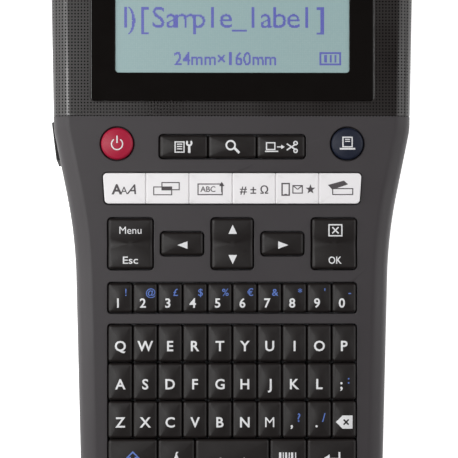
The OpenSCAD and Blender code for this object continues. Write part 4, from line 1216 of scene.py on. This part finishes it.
def poreTree():
    tree, given, out = nodeTree("poreField", [
        ("Pitch", "NodeSocketFloat", 1.5), ("Radius", "NodeSocketFloat", 0.27),
        ("Height", "NodeSocketFloat", 0.03),
        ("Span", "NodeSocketFloat", 116.0), ("Origin", "NodeSocketVector", (0, 0, 0)),
        ("Up", "NodeSocketVector", (0, 0, 1)),
        ("Tilt", "NodeSocketFloat", 0.0), ("Lens Low", "NodeSocketVector", (0, 0, 0)),
        ("Lens High", "NodeSocketVector", (0, 0, 0)),
        ("Material", "NodeSocketMaterial", None)])
    count = treeNode(tree, "ShaderNodeMath", {"operation": "DIVIDE"},
                     {0: given.outputs["Span"], 1: given.outputs["Pitch"]})
    grid = treeNode(tree, "GeometryNodeMeshGrid", {},
                    {"Size X": given.outputs["Span"], "Size Y": given.outputs["Span"],
                     "Vertices X": count.outputs[0], "Vertices Y": count.outputs[0]})
    spot = treeNode(tree, "GeometryNodeInputPosition", {}, {})
    over = treeNode(tree, "FunctionNodeCompare",
                    {"data_type": "VECTOR", "mode": "ELEMENT", "operation": "GREATER_THAN"},
                    {"A": spot.outputs[0], "B": given.outputs["Lens Low"]})
    under = treeNode(tree, "FunctionNodeCompare",
                     {"data_type": "VECTOR", "mode": "ELEMENT", "operation": "LESS_THAN"},
                     {"A": spot.outputs[0], "B": given.outputs["Lens High"]})
    within = treeNode(tree, "FunctionNodeBooleanMath", {"operation": "AND"},
                      {0: over.outputs[0], 1: under.outputs[0]})
    kept = treeNode(tree, "GeometryNodeDeleteGeometry", {"domain": "POINT"},
                    {"Geometry": grid.outputs["Mesh"], "Selection": within.outputs[0]})
    tilt = treeNode(tree, "ShaderNodeCombineXYZ", {}, {"X": given.outputs["Tilt"]})
    lifted = treeNode(tree, "GeometryNodeTransform", {},
                      {"Geometry": kept.outputs[0], "Translation": given.outputs["Origin"],
                                                          "Rotation": tilt.outputs[0]})
    down = treeNode(tree, "ShaderNodeVectorMath", {"operation": "SCALE"},
                    {0: given.outputs["Up"], "Scale": -1.0})
    ray = treeNode(tree, "GeometryNodeRaycast", {}, {"Target Geometry": given.outputs["Geometry"],
                                                     "Ray Direction": down.outputs[0], "Ray Length": 60.0})
    facing = treeNode(tree, "ShaderNodeVectorMath", {"operation": "DOT_PRODUCT"},
                      {0: ray.outputs["Hit Normal"], 1: given.outputs["Up"]})
    steep = treeNode(tree, "FunctionNodeCompare", {"data_type": "FLOAT", "operation": "LESS_THAN"},
                     {"A": facing.outputs["Value"], "B": pores["steep"]})
    keep = treeNode(tree, "GeometryNodeStoreNamedAttribute",
                    {"data_type": "FLOAT_VECTOR", "domain": "POINT"},
                    {"Geometry": lifted.outputs[0], "Name": "lean", "Value": ray.outputs["Hit Normal"]})
    missed = treeNode(tree, "FunctionNodeBooleanMath", {"operation": "NOT"}, {0: ray.outputs["Is Hit"]})
    bad = treeNode(tree, "FunctionNodeBooleanMath", {"operation": "OR"},
                   {0: missed.outputs[0], 1: steep.outputs[0]})
    flagged = treeNode(tree, "GeometryNodeStoreNamedAttribute", {"data_type": "BOOLEAN", "domain": "POINT"},
                       {"Geometry": keep.outputs[0], "Name": "off", "Value": bad.outputs[0]})
    moved = treeNode(tree, "GeometryNodeSetPosition", {},
                     {"Geometry": flagged.outputs[0], "Position": ray.outputs["Hit Position"]})
    off = treeNode(tree, "GeometryNodeInputNamedAttribute", {"data_type": "BOOLEAN"}, {"Name": "off"})
    trimmed = treeNode(tree, "GeometryNodeDeleteGeometry", {"domain": "POINT"},
                       {"Geometry": moved.outputs[0], "Selection": off.outputs[0]})
    lean = treeNode(tree, "GeometryNodeInputNamedAttribute", {"data_type": "FLOAT_VECTOR"},
                    {"Name": "lean"})
    turned = treeNode(tree, "FunctionNodeAlignRotationToVector", {"axis": "Z"}, {"Vector": lean.outputs[0]})
    disc = treeNode(tree, "GeometryNodeMeshCone", {"fill_type": "NONE"}, {
        "Vertices": 8, "Radius Top": 0.0, "Radius Bottom": given.outputs["Radius"],
        "Depth": given.outputs["Height"]})
    copies = treeNode(tree, "GeometryNodeInstanceOnPoints", {},
                      {"Points": trimmed.outputs[0], "Instance": disc.outputs[0],
                                                                 "Rotation": turned.outputs[0]})
    real = treeNode(tree, "GeometryNodeRealizeInstances", {}, {"Geometry": copies.outputs[0]})
    painted = treeNode(tree, "GeometryNodeSetMaterial", {},
                       {"Geometry": real.outputs[0], "Material": given.outputs["Material"]})
    tree.links.new(painted.outputs[0], out.inputs[0])
    return tree


# the discs carry painted shade: dark dots where the pits of the head's texture would hold shadow
def buildPores():
    host = bpy.data.objects.new("poreHost", headFascia.data.copy())
    bpy.context.scene.collection.objects.link(host)
    host.data.transform(Matrix.Scale(1 / mm, 4))
    middle = (seamV + pores["to"]) / 2
    centre = fromDeck(0, middle, pores["above"])
    gap = pores["lensGap"]
    obj = runTree(host, poreTree(), {
        "Pitch": pores["pitch"], "Radius": pores["radius"], "Height": pores["high"], "Span": pores["span"],
        "Origin": tuple(centre), "Up": tuple(fromDeck(0, 0, 1) - fromDeck(0, 0, 0)),
        "Tilt": math.atan2(sinT, cosT),
        "Lens Low": (-lens["w"] / 2 - gap, lens["low"] - gap - middle, -1.0),
        "Lens High": (lens["w"] / 2 + gap, lens["high"] + gap - middle, 1.0),
        "Material": finishes["pore"]}, "headPoreShade")
    bpy.data.objects.remove(host)
    print("pores:", len(obj.data.polygons) // 8)
    return finished(obj, "root", [finishes["pore"]], (), 0, False)


buildPores()
# The rear shell, built upward from the table.
rear = {"coverIn": 9.0, "coverCut": 1.5, "coverFit": 0.3, "panel": 2.4, "beadGap": 0.3, "fit": 0.3,
        "cassetteFit": 0.5,
        "notchX": -17.0, "notchLow": 55.5, "notchHigh": 93.5, "bayWall": 1.5, "pinFit": 0.05,
        "cellRoom": 0.35, "screwFit": 0.2,
        "gripDeep": 0.9, "gripLow": 8.0, "gripUnder": 21.6, "rim": 0.35}
slots = {"exitX": -26.85, "exitHalf": 2.4, "exitLow": 4.8, "exitHigh": 32.2, "exitFrom": 114.7,
         "exitTo": 130.0, "catchHalf": 6.6, "catchFrom": 108.7, "catchTo": 113.5, "catchFloor": 1.4,
         "latchHalf": 8.3, "latchFrom": 114.0, "latchTo": 127.0, "latchLow": 5.9, "latchHigh": 14.3,
         "bearing": 1.55, "boreTo": 60.0}
coverLow = cadCorners("back_cover")[0]
bead = {"radius": 1.1, "z": 1.1, "pin": 0.7, "pinLong": 1.8, "fromSide": 16.0, "endGap": 0.25,
        "pinGap": 0.3}
bead["half"] = shell["halfWidth"] - shell["footIn"] - bead["fromSide"]
bead["y"] = coverLow.y + bead["radius"]


def rodX(x0, x1, y, z, radius, sides=32):
    ring = [(y + radius * math.cos(2 * math.pi * k / sides), z + radius * math.sin(2 * math.pi * k / sides))
            for k in range(sides)]
    return loft("rodX", [[(x, py, pz) for py, pz in ring] for x in (x0, x1)])


def eased(obj, width, steps=3, degrees=30):
    # rounds the sharp edges of a fresh solid
    mod = obj.modifiers.new("ease", "BEVEL")
    mod.width, mod.segments, mod.limit_method, mod.angle_limit = width, steps, "ANGLE", math.radians(degrees)
    return settle(obj)


def rearSolid(grow=0.0):
    r = shell["backRound"]
    rings = [ringAt(r * (1 - math.sin(a)) - grow,
                    z=r * (1 - math.cos(a)) - grow) for a in quarter(shell["roundSteps"])]
    rings.append(ringAt(-grow, shell["parting"]))
    return loft("rearSolid", rings)


def pillar(x, y, z0, depth, radius, sides=40):
    # round post from a height up to a plane parallel to the key face
    ring = [(x + radius * math.cos(2 * math.pi * k / sides), y + radius * math.sin(2 * math.pi * k / sides))
            for k in range(sides)]
    return loft("post", [[(px, py, z0) for px, py in ring],
                         [(px, py, faceZ(py) - depth / cosT) for px, py in ring]])


def coverPlan(inset, cut, levels):
    # outline set in and cut straight short of the hinge; levels are (height, extra inset)
    solid = loft("coverPlan", [ringAt(inset + extra, z=z) for z, extra in levels])
    return carve(solid, "INTERSECT", [block(-big, big, bead["y"] + cut, big, -big, big)])


def cassettePlan():
    low, high = cadCorners("tape_cassette")
    g = rear["cassetteFit"]
    x, inner = high.x + g, rear["notchX"] - g
    plan = [(x, low.y - g), (x, high.y + g), (-x, high.y + g), (-x, rear["notchHigh"] - g),
            (inner, rear["notchHigh"] - g),
            (inner, rear["notchLow"] + g), (-x, rear["notchLow"] + g), (-x, low.y - g)]
    return loft("cassettePlan", [[(px, py, z) for px, py in plan] for z in (-1, shell["floor"] + 1)])


hinge = next(j for j in frame["joints"] if j["name"] == "port_flap_hinge")
flapTurn = math.atan2(hinge["axis"][1], hinge["axis"][0]) + math.pi / 2
if abs(flapTurn) > math.pi / 2:
    flapTurn += math.pi
flap = {"thick": 2.0, "out": 1.1, "long": 12.7, "low": 9.0, "high": 27.0, "fit": 0.2, "y": 3.3,
        "ease": 0.45,
        "seatIn": 1.5, "seatLow": 2.6, "seatTop": 1.4, "nickHalf": 2.6, "nick": 0.8, "nickDown": 2.2}


def atPort(obj):
    # from the flap's own frame, where -X faces out of the left wall, to its place
    obj.data.transform(Matrix.Translation((-sideX(flap["y"]), flap["y"],
                                           flap["low"])) @ Matrix.Rotation(flapTurn, 4, "Z"))
    return obj


def portWindow():
    tall, half = flap["high"] - flap["low"], flap["long"] / 2
    return [atPort(block(-5, flap["thick"] - flap["out"] + 0.05, -half - flap["fit"], half + flap["fit"],
                         -flap["fit"], tall + flap["fit"])),
            atPort(block(-5, 8, flap["seatIn"] - half, half - flap["seatIn"], flap["seatLow"],
                         tall - flap["seatTop"]))]


def gripBand(side, inner, outer, gap=0.0):
    low, high = cadCorners("grip_left" if side < 0 else "grip_right")
    skin = rearSolid(outer)
    carve(skin, "DIFFERENCE", [rearSolid(-inner)])
    reach = block(min(0, side * big), max(0, side * big), low.y + gap, high.y - gap, rear["gripLow"] + gap,
                  big)
    return carve(skin, "INTERSECT", [reach,
                                     deckBlock(-big, big, -big, big, -big, -rear["gripUnder"] - gap)])


def bayWithin(grow):
    low, high = cadCorners("battery_contacts")
    x = bayHalf + grow
    return block(-x, x, low.y - grow, high.y + grow, shell["floor"] - 0.5 if grow else -1, bayTop + grow)


cellHigh = cadCorners("battery_cells")[1]
bayHalf = cellHigh.x + rear["cellRoom"]
bayTop = cellHigh.z + rear["cellRoom"]


def buildRearCasing():
    obj = rearSolid()
    carve(obj, "DIFFERENCE", [loft("hollow", [ringAt(shell["wall"], z=shell["floor"]),
                                              ringAt(shell["wall"], shell["parting"] - 2)])])
    posts = [pillar(s["x"], s["y"], shell["floor"] - 0.5, shell["parting"],
                    boss["radius"]) for s in screwSpots]
    carve(obj, "UNION", [bayWithin(rear["bayWall"])] + posts)
    ease = rear["rim"]
    pinEnd = bead["half"] + bead["pinLong"] + bead["pinGap"]
    tools = [coverPlan(rear["coverIn"], rear["coverCut"],
                       [(-1, -ease), (0, -ease), (ease, 0), (rear["panel"], 0)]),
             block(-bead["half"] - bead["endGap"], bead["half"] + bead["endGap"],
                   bead["y"] - bead["radius"] - rear["beadGap"], bead["y"] + 2,
                   -1, rear["panel"]),
             rodX(-pinEnd, pinEnd, bead["y"], bead["z"], bead["pin"] + rear["pinFit"]),
             bayWithin(0.0), cassettePlan()]
    for s in screwSpots:
        tools.append(rod(s["x"], s["y"], -1, slots["boreTo"], screw["shank"] + rear["screwFit"]))
        tools.append(rod(s["x"], s["y"], -1, s["low"] + screw["headTall"],
                         screw["head"] + rear["screwFit"]))
    for node in ("platen_roller", "head_arm"):
        joint = next(j for j in frame["joints"] if j["child"] == node)
        spot = Vector(joint["pos_m"]) / mm
        tools.append(rod(spot.x, spot.y, -1, shell["floor"] + 1, slots["bearing"]))
    c = slots
    tools.append(block(c["exitX"] - c["exitHalf"], c["exitX"] + c["exitHalf"], c["exitFrom"], c["exitTo"],
                       c["exitLow"], c["exitHigh"]))
    tools.append(block(-c["catchHalf"], c["catchHalf"], c["catchFrom"], c["catchTo"], c["catchFloor"],
                       shell["floor"] + 1))
    tools.append(block(-c["latchHalf"], c["latchHalf"], c["latchFrom"], c["latchTo"], c["latchLow"],
                       c["latchHigh"]))
    tools += portWindow() + [gripBand(s, rear["gripDeep"], 1.5) for s in (-1, 1)]
    tools.append(grooveTool(rearSolid,
                            deckBlock(-big, big, -big, big, -shell["parting"] - shell["grooveHalf"], big)))
    carve(obj, "DIFFERENCE", tools)
    obj.name = "rearCasing"
    return finished(obj, "root", [finishes["back"]], ["rear_casing"], 28)


rearCasing = buildRearCasing()
print("rear casing:", len(rearCasing.data.polygons), "faces")

cover = {"thick": 2.2, "ease": 0.4, "ridges": 6, "ridgeY": 92.0, "ridgePitch": 2.4, "ridgeHalf": 14.0,
         "ridgeDeep": 0.5,
         "cut": 2.1, "lap": 2.5, "arrowTip": 88.5, "arrowHalf": 4.0, "arrowDeep": 0.35, "padHalf": 24.0,
         "padLow": -62.0, "padHigh": -22.0, "padDeep": 0.3, "catchHalf": 6.0, "catchBack": 111.2,
         "catchFront": 112.5, "catchTop": 8.0, "hook": 1.5}


def buildCover():
    c, ease = cover, cover["ease"]
    levels = [(0, ease), (ease * 0.3, ease * 0.3), (ease, 0), (c["thick"], 0)]
    obj = coverPlan(rear["coverIn"] + rear["coverFit"], c["cut"], levels)
    b = bead
    parts = [block(-b["half"], b["half"], b["y"], b["y"] + c["lap"], 0, c["thick"]),
             rodX(-b["half"], b["half"], b["y"], b["z"], b["radius"]),
             rodX(-b["half"] - b["pinLong"], b["half"] + b["pinLong"], b["y"], b["z"], b["pin"]),
             block(-c["catchHalf"], c["catchHalf"], c["catchBack"], c["catchFront"], c["thick"] - 0.5,
                   c["catchTop"]),
             block(-c["catchHalf"], c["catchHalf"], c["catchBack"] - c["hook"], c["catchBack"] + 0.1,
                   c["catchTop"] - 1.5,
                   c["catchTop"])]
    carve(obj, "UNION", parts)
    grooves = [block(-c["ridgeHalf"] + k * 0.9, c["ridgeHalf"] - k * 0.9,
                     c["ridgeY"] + k * c["ridgePitch"] - 0.5, c["ridgeY"] + k * c["ridgePitch"] + 0.5, -1,
                     c["ridgeDeep"]) for k in range(c["ridges"])]
    pad = softLoop(rectangle(2 * c["padHalf"], c["padHigh"] - c["padLow"], 0,
                             (c["padHigh"] + c["padLow"]) / 2), 2.5)
    levels = ((-1, 0.4), (0, 0.3), (c["padDeep"], 0), (c["padDeep"] + 0.001, -0.002))
    grooves.append(loft("pad", [[(x + g * nx, y + g * ny, z) for x, y, nx, ny in pad] for z, g in levels]))
    tip, half = c["arrowTip"], c["arrowHalf"]
    arrow = [(-half, tip - half - 0.5), (0, tip), (half, tip - half - 0.5)]
    grooves.append(loft("arrow", [[(x, y, z) for x, y in arrow] for z in (-1, c["arrowDeep"])]))
    carve(obj, "DIFFERENCE", grooves)
    obj.name = "backCover"
    return finished(obj, "back_cover", [finishes["cover"]], ["back_cover"], 20)


latch = {"thick": 1.8, "arm": 1.5, "backFrom": 114.8, "backTo": 116.5, "buttonFrom": 115.8,
         "buttonTall": 7.8, "ease": 0.6, "nick": 0.6, "nickOut": 0.25, "nickPitch": 1.5, "nickEnd": 2.0}


def buildLatch():
    low, high = cadCorners("cover_latch")
    c = latch
    top, middle = low.z + c["thick"], high.z - c["buttonTall"] / 2
    frameParts = [block(low.x, high.x, low.y, low.y + c["thick"], low.z, top),
                  block(low.x, low.x + c["arm"], low.y, c["backTo"], low.z, top),
                  block(high.x - c["arm"], high.x, low.y, c["backTo"], low.z, top),
                  block(low.x, high.x, c["backFrom"], c["backTo"], low.z, high.z)]
    button = block(low.x, high.x, c["buttonFrom"], high.y, high.z - c["buttonTall"], high.z)
    obj = eased(button, c["ease"], 4)
    carve(obj, "UNION", frameParts)
    nicks = [rodX(low.x + c["nickEnd"], high.x - c["nickEnd"], high.y + c["nickOut"],
                  middle + k * c["nickPitch"], c["nick"], 20) for k in (-1, 0, 1)]
    carve(obj, "DIFFERENCE", nicks)
    obj.name = "coverLatch"
    return finished(obj, "cover_latch", [finishes["latch"]], ["cover_latch"], 28)


def buildPortFlap():
    tall, half, inner = flap["high"] - flap["low"], flap["long"] / 2, flap["thick"] - flap["out"]
    r = flap["thick"] / 2
    obj = eased(block(-flap["out"], inner, -half, half, r, tall), flap["ease"], 4)
    barrel = rod(0, 0, -half, half, r, 32)
    barrel.data.transform(Matrix.Translation((inner - r, 0, r)) @ Matrix.Rotation(math.pi / 2, 4, "X"))
    carve(obj, "UNION", [barrel, block(-flap["out"], inner, -half, half, r, r + 1.2)])
    nick = rod(0, 0, -flap["nickHalf"], flap["nickHalf"], flap["nick"], 24)
    place = Matrix.Translation((-flap["out"] - 0.3, 0, tall - flap["nickDown"]))
    nick.data.transform(place @ Matrix.Rotation(math.pi / 2, 4, "X"))
    carve(obj, "DIFFERENCE", [nick])
    atPort(obj)
    obj.name = "portFlap"
    return finished(obj, "port_flap", [finishes["grip"]], ["port_flap"], 28)


def buildScrews():
    made = []
    for s in screwSpots:
        low, r, shank, top = s["low"], screw["head"], screw["shank"], s["low"] + screw["headTall"]
        head = lathe("head", [(screw["rim"], low), (r - 0.15, low + 0.12), (r, low + 0.4), (r, top),
                              (shank, top), (shank, s["high"] - 0.5), (shank - 0.3, s["high"])])
        a, b = screw["crossHalf"], screw["crossThick"]
        cross = [block(-p, p, -q, q, low - 1, low + screw["crossDeep"]) for p, q in ((a, b), (b, a))]
        carve(head, "DIFFERENCE", cross)
        head.data.transform(Matrix.Translation((s["x"], s["y"], 0)))
        made.append(head)
    return finished(join("casingScrews", made),
                    "casing_screws" if "casing_screws" in frame["bodies"] else "root",
                    [finishes["screw"]], ["casing_screws"], 30)


buildCover()
buildLatch()
buildPortFlap()
buildScrews()
print("cover, latch, flap and screws made")

# Grip bands: a thin strip of rubber in its recess, with upright ribs repeated along it.
grip = {"proud": 0.18, "ribPitch": 1.9, "ribWide": 1.1, "ribProud": 0.46, "foot": 8.6, "topGap": 0.9,
        "end": 1.2}


def ribTree():
    tree, given, out = nodeTree("gripRibs", [
        ("Spacing", "NodeSocketFloat", 1.9), ("Radius", "NodeSocketFloat", 0.5),
        ("Foot", "NodeSocketFloat", 8.6),
        ("Top", "NodeSocketFloat", 28.0), ("Slope", "NodeSocketFloat", 0.09),
        ("Material", "NodeSocketMaterial", None)])
    curve = treeNode(tree, "GeometryNodeMeshToCurve", {}, {"Mesh": given.outputs["Geometry"]})
    even = treeNode(tree, "GeometryNodeResampleCurve", {"mode": "LENGTH"},
                    {"Curve": curve.outputs[0], "Length": given.outputs["Spacing"]})
    spot = treeNode(tree, "GeometryNodeInputPosition", {}, {})
    parts = treeNode(tree, "ShaderNodeSeparateXYZ", {}, {0: spot.outputs[0]})
    rise = treeNode(tree, "ShaderNodeMath", {"operation": "MULTIPLY_ADD"},
                    {0: parts.outputs["Y"], 1: given.outputs["Slope"],
                                                                            2: given.outputs["Top"]})
    tall = treeNode(tree, "ShaderNodeMath", {"operation": "SUBTRACT"},
                    {0: rise.outputs[0], 1: given.outputs["Foot"]})
    stretch = treeNode(tree, "ShaderNodeCombineXYZ", {}, {"X": 1.0, "Y": 1.0, "Z": tall.outputs[0]})
    rib = treeNode(tree, "GeometryNodeMeshCylinder", {},
                   {"Vertices": 20, "Radius": given.outputs["Radius"], "Depth": 1.0})
    stood = treeNode(tree, "GeometryNodeTransform", {},
                     {"Geometry": rib.outputs["Mesh"], "Translation": (0, 0, 0.5)})
    copies = treeNode(tree, "GeometryNodeInstanceOnPoints", {},
                      {"Points": even.outputs[0], "Instance": stood.outputs[0],
                                                                 "Scale": stretch.outputs[0]})
    real = treeNode(tree, "GeometryNodeRealizeInstances", {}, {"Geometry": copies.outputs[0]})
    painted = treeNode(tree, "GeometryNodeSetMaterial", {},
                       {"Geometry": real.outputs[0], "Material": given.outputs["Material"]})
    tree.links.new(painted.outputs[0], out.inputs[0])
    return tree


ribs = ribTree()


def buildGrip(side, node, name):
    low, high = cadCorners(node)
    strip = gripBand(side, rear["gripDeep"] - 0.02, grip["proud"], 0.05)
    radius = grip["ribWide"] / 2
    centre = grip["ribProud"] - radius
    line = [(x + centre * nx, y + centre * ny) for x, y, nx, ny in outline if x * side > 0]
    line = sorted((p for p in line if low.y < p[1] < high.y), key=lambda p: p[1])
    ends = [(side * (sideX(y) + centre), y) for y in (low.y + grip["end"], high.y - grip["end"])]
    line = [ends[0]] + [p for p in line if low.y + grip["end"] < p[1] < high.y - grip["end"]] + [ends[1]]
    host = bpy.data.objects.new("ribHost", bpy.data.meshes.new("ribHost"))
    bpy.context.scene.collection.objects.link(host)
    host.data.from_pydata([(x, y, grip["foot"]) for x, y in line],
                          [(k, k + 1) for k in range(len(line) - 1)], [])
    made = runTree(host, ribs, {
        "Spacing": grip["ribPitch"], "Radius": radius, "Foot": grip["foot"], "Slope": sinT / cosT,
        "Top": faceMid - (rear["gripUnder"] + grip["topGap"]) / cosT, "Material": finishes["grip"]},
        name + "Ribs")
    bpy.data.objects.remove(host)
    finished(strip, "root", [finishes["grip"]], [node], 28).name = name
    finished(made, "root", [finishes["grip"]], (), 40)


buildGrip(-1, "grip_left", "gripLeft")
buildGrip(1, "grip_right", "gripRight")
print("grips made")

# What shows of the cassette when the cover is off: a blank label, the hub of the roll, and ribs.
cartridge = {"proud": 0.18, "labelX": 9.0, "labelY": 38.0, "labelW": 34.0, "labelH": 26.0, "hubY": 83.5,
             "ribs": 6}


def buildCassetteFace():
    low, high = cadCorners("tape_cassette")
    c = cartridge
    levels = [(low.z + 0.05, 0), (low.z - c["proud"] + 0.04, 0), (low.z - c["proud"], 0.06)]
    loop = softLoop(rectangle(c["labelW"], c["labelH"], c["labelX"], c["labelY"]), 1.5)
    label = loft("cassetteLabel", [[(x - g * nx, y - g * ny, z) for x, y, nx, ny in loop] for z,
                                   g in levels])
    finished(label, "root", [finishes["paper"]], (), 30)
    parts = []
    for outer, inner in ((8.5, 7.6), (5.2, 3.4)):
        ring = rod(c["labelX"], c["hubY"], low.z - c["proud"], low.z + 0.05, outer, 64)
        parts.append(carve(ring, "DIFFERENCE", [rod(c["labelX"], c["hubY"], -5, 50, inner, 64)]))
    for k in range(c["ribs"]):
        y = c["labelY"] - c["labelH"] / 2 + 2 + k * 4.4
        parts.append(block(low.x + 3, low.x + 18, y, y + 1.0, low.z - c["proud"], low.z + 0.05))
    finished(join("cassetteRelief", parts), "root", [finishes["cassette"]], (), 30)


buildCassetteFace()

# What stays as CAD made it gets its finish here.
cadLooks = {"lcd_module": "panel", "main_board": "board", "keypad_board": "board", "port_sockets": "socket",
            "keypad_mat": "mat", "battery_cells": "cells", "battery_contacts": "spring",
            "mech_chassis": "chassis",
            "head_arm": "chassis", "drive_motor": "chassis", "print_head": "ceramic",
            "platen_roller": "platen",
            "motor_pinion": "brass", "drive_gear": "nylon", "ribbon_spindle": "nylon",
            "cutter_blade": "screw",
            "tape_cassette": "cassette", "tape_roll": "tape"}
for node, look in cadLooks.items():
    nodes[node].data.materials.clear()
    nodes[node].data.materials.append(finishes[look])
print("finishes on CAD nodes:", len(cadLooks))

# Camera, light and floor.
view = {"aimX": -1.05, "aimV": -27.7, "distance": 809.0, "yaw": 1.2}
camData = bpy.data.cameras.new("camera")
camData.lens, camData.sensor_width = 200, 36
camera = bpy.data.objects.new("camera", camData)
bpy.context.scene.collection.objects.link(camera)
normal = (fromDeck(0, 0, 1) - fromDeck(0, 0, 0)).normalized()
aim = fromDeck(view["aimX"], view["aimV"])
yaw = math.radians(view["yaw"])
direction = normal * math.cos(yaw) + Vector((-1, 0, 0)) * math.sin(yaw)
camera.location = (aim + direction * view["distance"]) * mm
upward = (fromDeck(0, 1) - fromDeck(0, 0)).normalized()
right = upward.cross(direction).normalized()
upward = direction.cross(right).normalized()
camera.rotation_euler = Matrix((right, upward, direction)).transposed().to_euler()
bpy.context.scene.camera = camera
bpy.context.scene.view_settings.view_transform = "Standard"


def areaLight(name, place, target, size, power, colour=(1, 1, 1)):
    data = bpy.data.lights.new(name, "AREA")
    data.shape, data.size, data.energy, data.color = "SQUARE", size, power, colour
    lamp = bpy.data.objects.new(name, data)
    lamp.location = place
    lamp.rotation_euler = (Vector(place) - Vector(target)).to_track_quat("Z", "Y").to_euler()
    bpy.context.scene.collection.objects.link(lamp)


lamps = {                       # place, target, width in metres, watts
    "keyLight": ((-0.30, -0.02, 0.85), (0, 0, 0.04), 0.22, 2.6),
    "sideLight": ((-0.62, 0.05, 0.42), (0, 0, 0.03), 0.75, 5.6),
    "fillLight": ((0.66, 0.1, 0.5), (0, 0, 0.04), 0.8, 4.4)}
for name, (place, target, size, power) in lamps.items():
    areaLight(name, place, target, size, power)
world = bpy.data.worlds.new("studio")
bpy.context.scene.world = world
world.use_nodes = True
# the backdrop is white to the camera, and dim to everything that reflects it
backdrop = world.node_tree.nodes["Background"]
backdrop.inputs[0].default_value = (1, 1, 1, 1)
rays, seen = world.node_tree.nodes.new("ShaderNodeLightPath"), world.node_tree.nodes.new("ShaderNodeMapRange")
seen.inputs["To Min"].default_value, seen.inputs["To Max"].default_value = 0.035, 1.0
world.node_tree.links.new(rays.outputs["Is Camera Ray"], seen.inputs["Value"])
world.node_tree.links.new(seen.outputs[0], backdrop.inputs[1])
floorRing = [(3, 3), (-3, 3), (-3, -3), (3, -3)]
floor = newMesh("floor", [(x, y, -0.0002) for x, y in floorRing], [(0, 1, 2, 3)])
floorFinish = Finish("floorPaper")
fine = floorFinish.noise(2.0, 2)
floor.data.materials.append(floorFinish.set(
    Base_Color=floorFinish.mix(fine, (0.8, 0.8, 0.8), (0.84, 0.84, 0.84)), Roughness=0.9,
    Emission_Color=(1.0, 1.0, 1.0), Emission_Strength=0.9))
# seen from below, the paper lets the view through
tree = floorFinish.tree
mixed, clear = tree.nodes.new("ShaderNodeMixShader"), tree.nodes.new("ShaderNodeBsdfTransparent")
behind = floorFinish.node("ShaderNodeNewGeometry", {}, {}, "Backfacing")
floorFinish.link(mixed.inputs[0], behind)
tree.links.new(floorFinish.surface.outputs[0], mixed.inputs[1])
tree.links.new(clear.outputs[0], mixed.inputs[2])
tree.links.new(mixed.outputs[0], next(n for n in tree.nodes if n.type == "OUTPUT_MATERIAL").inputs[0])
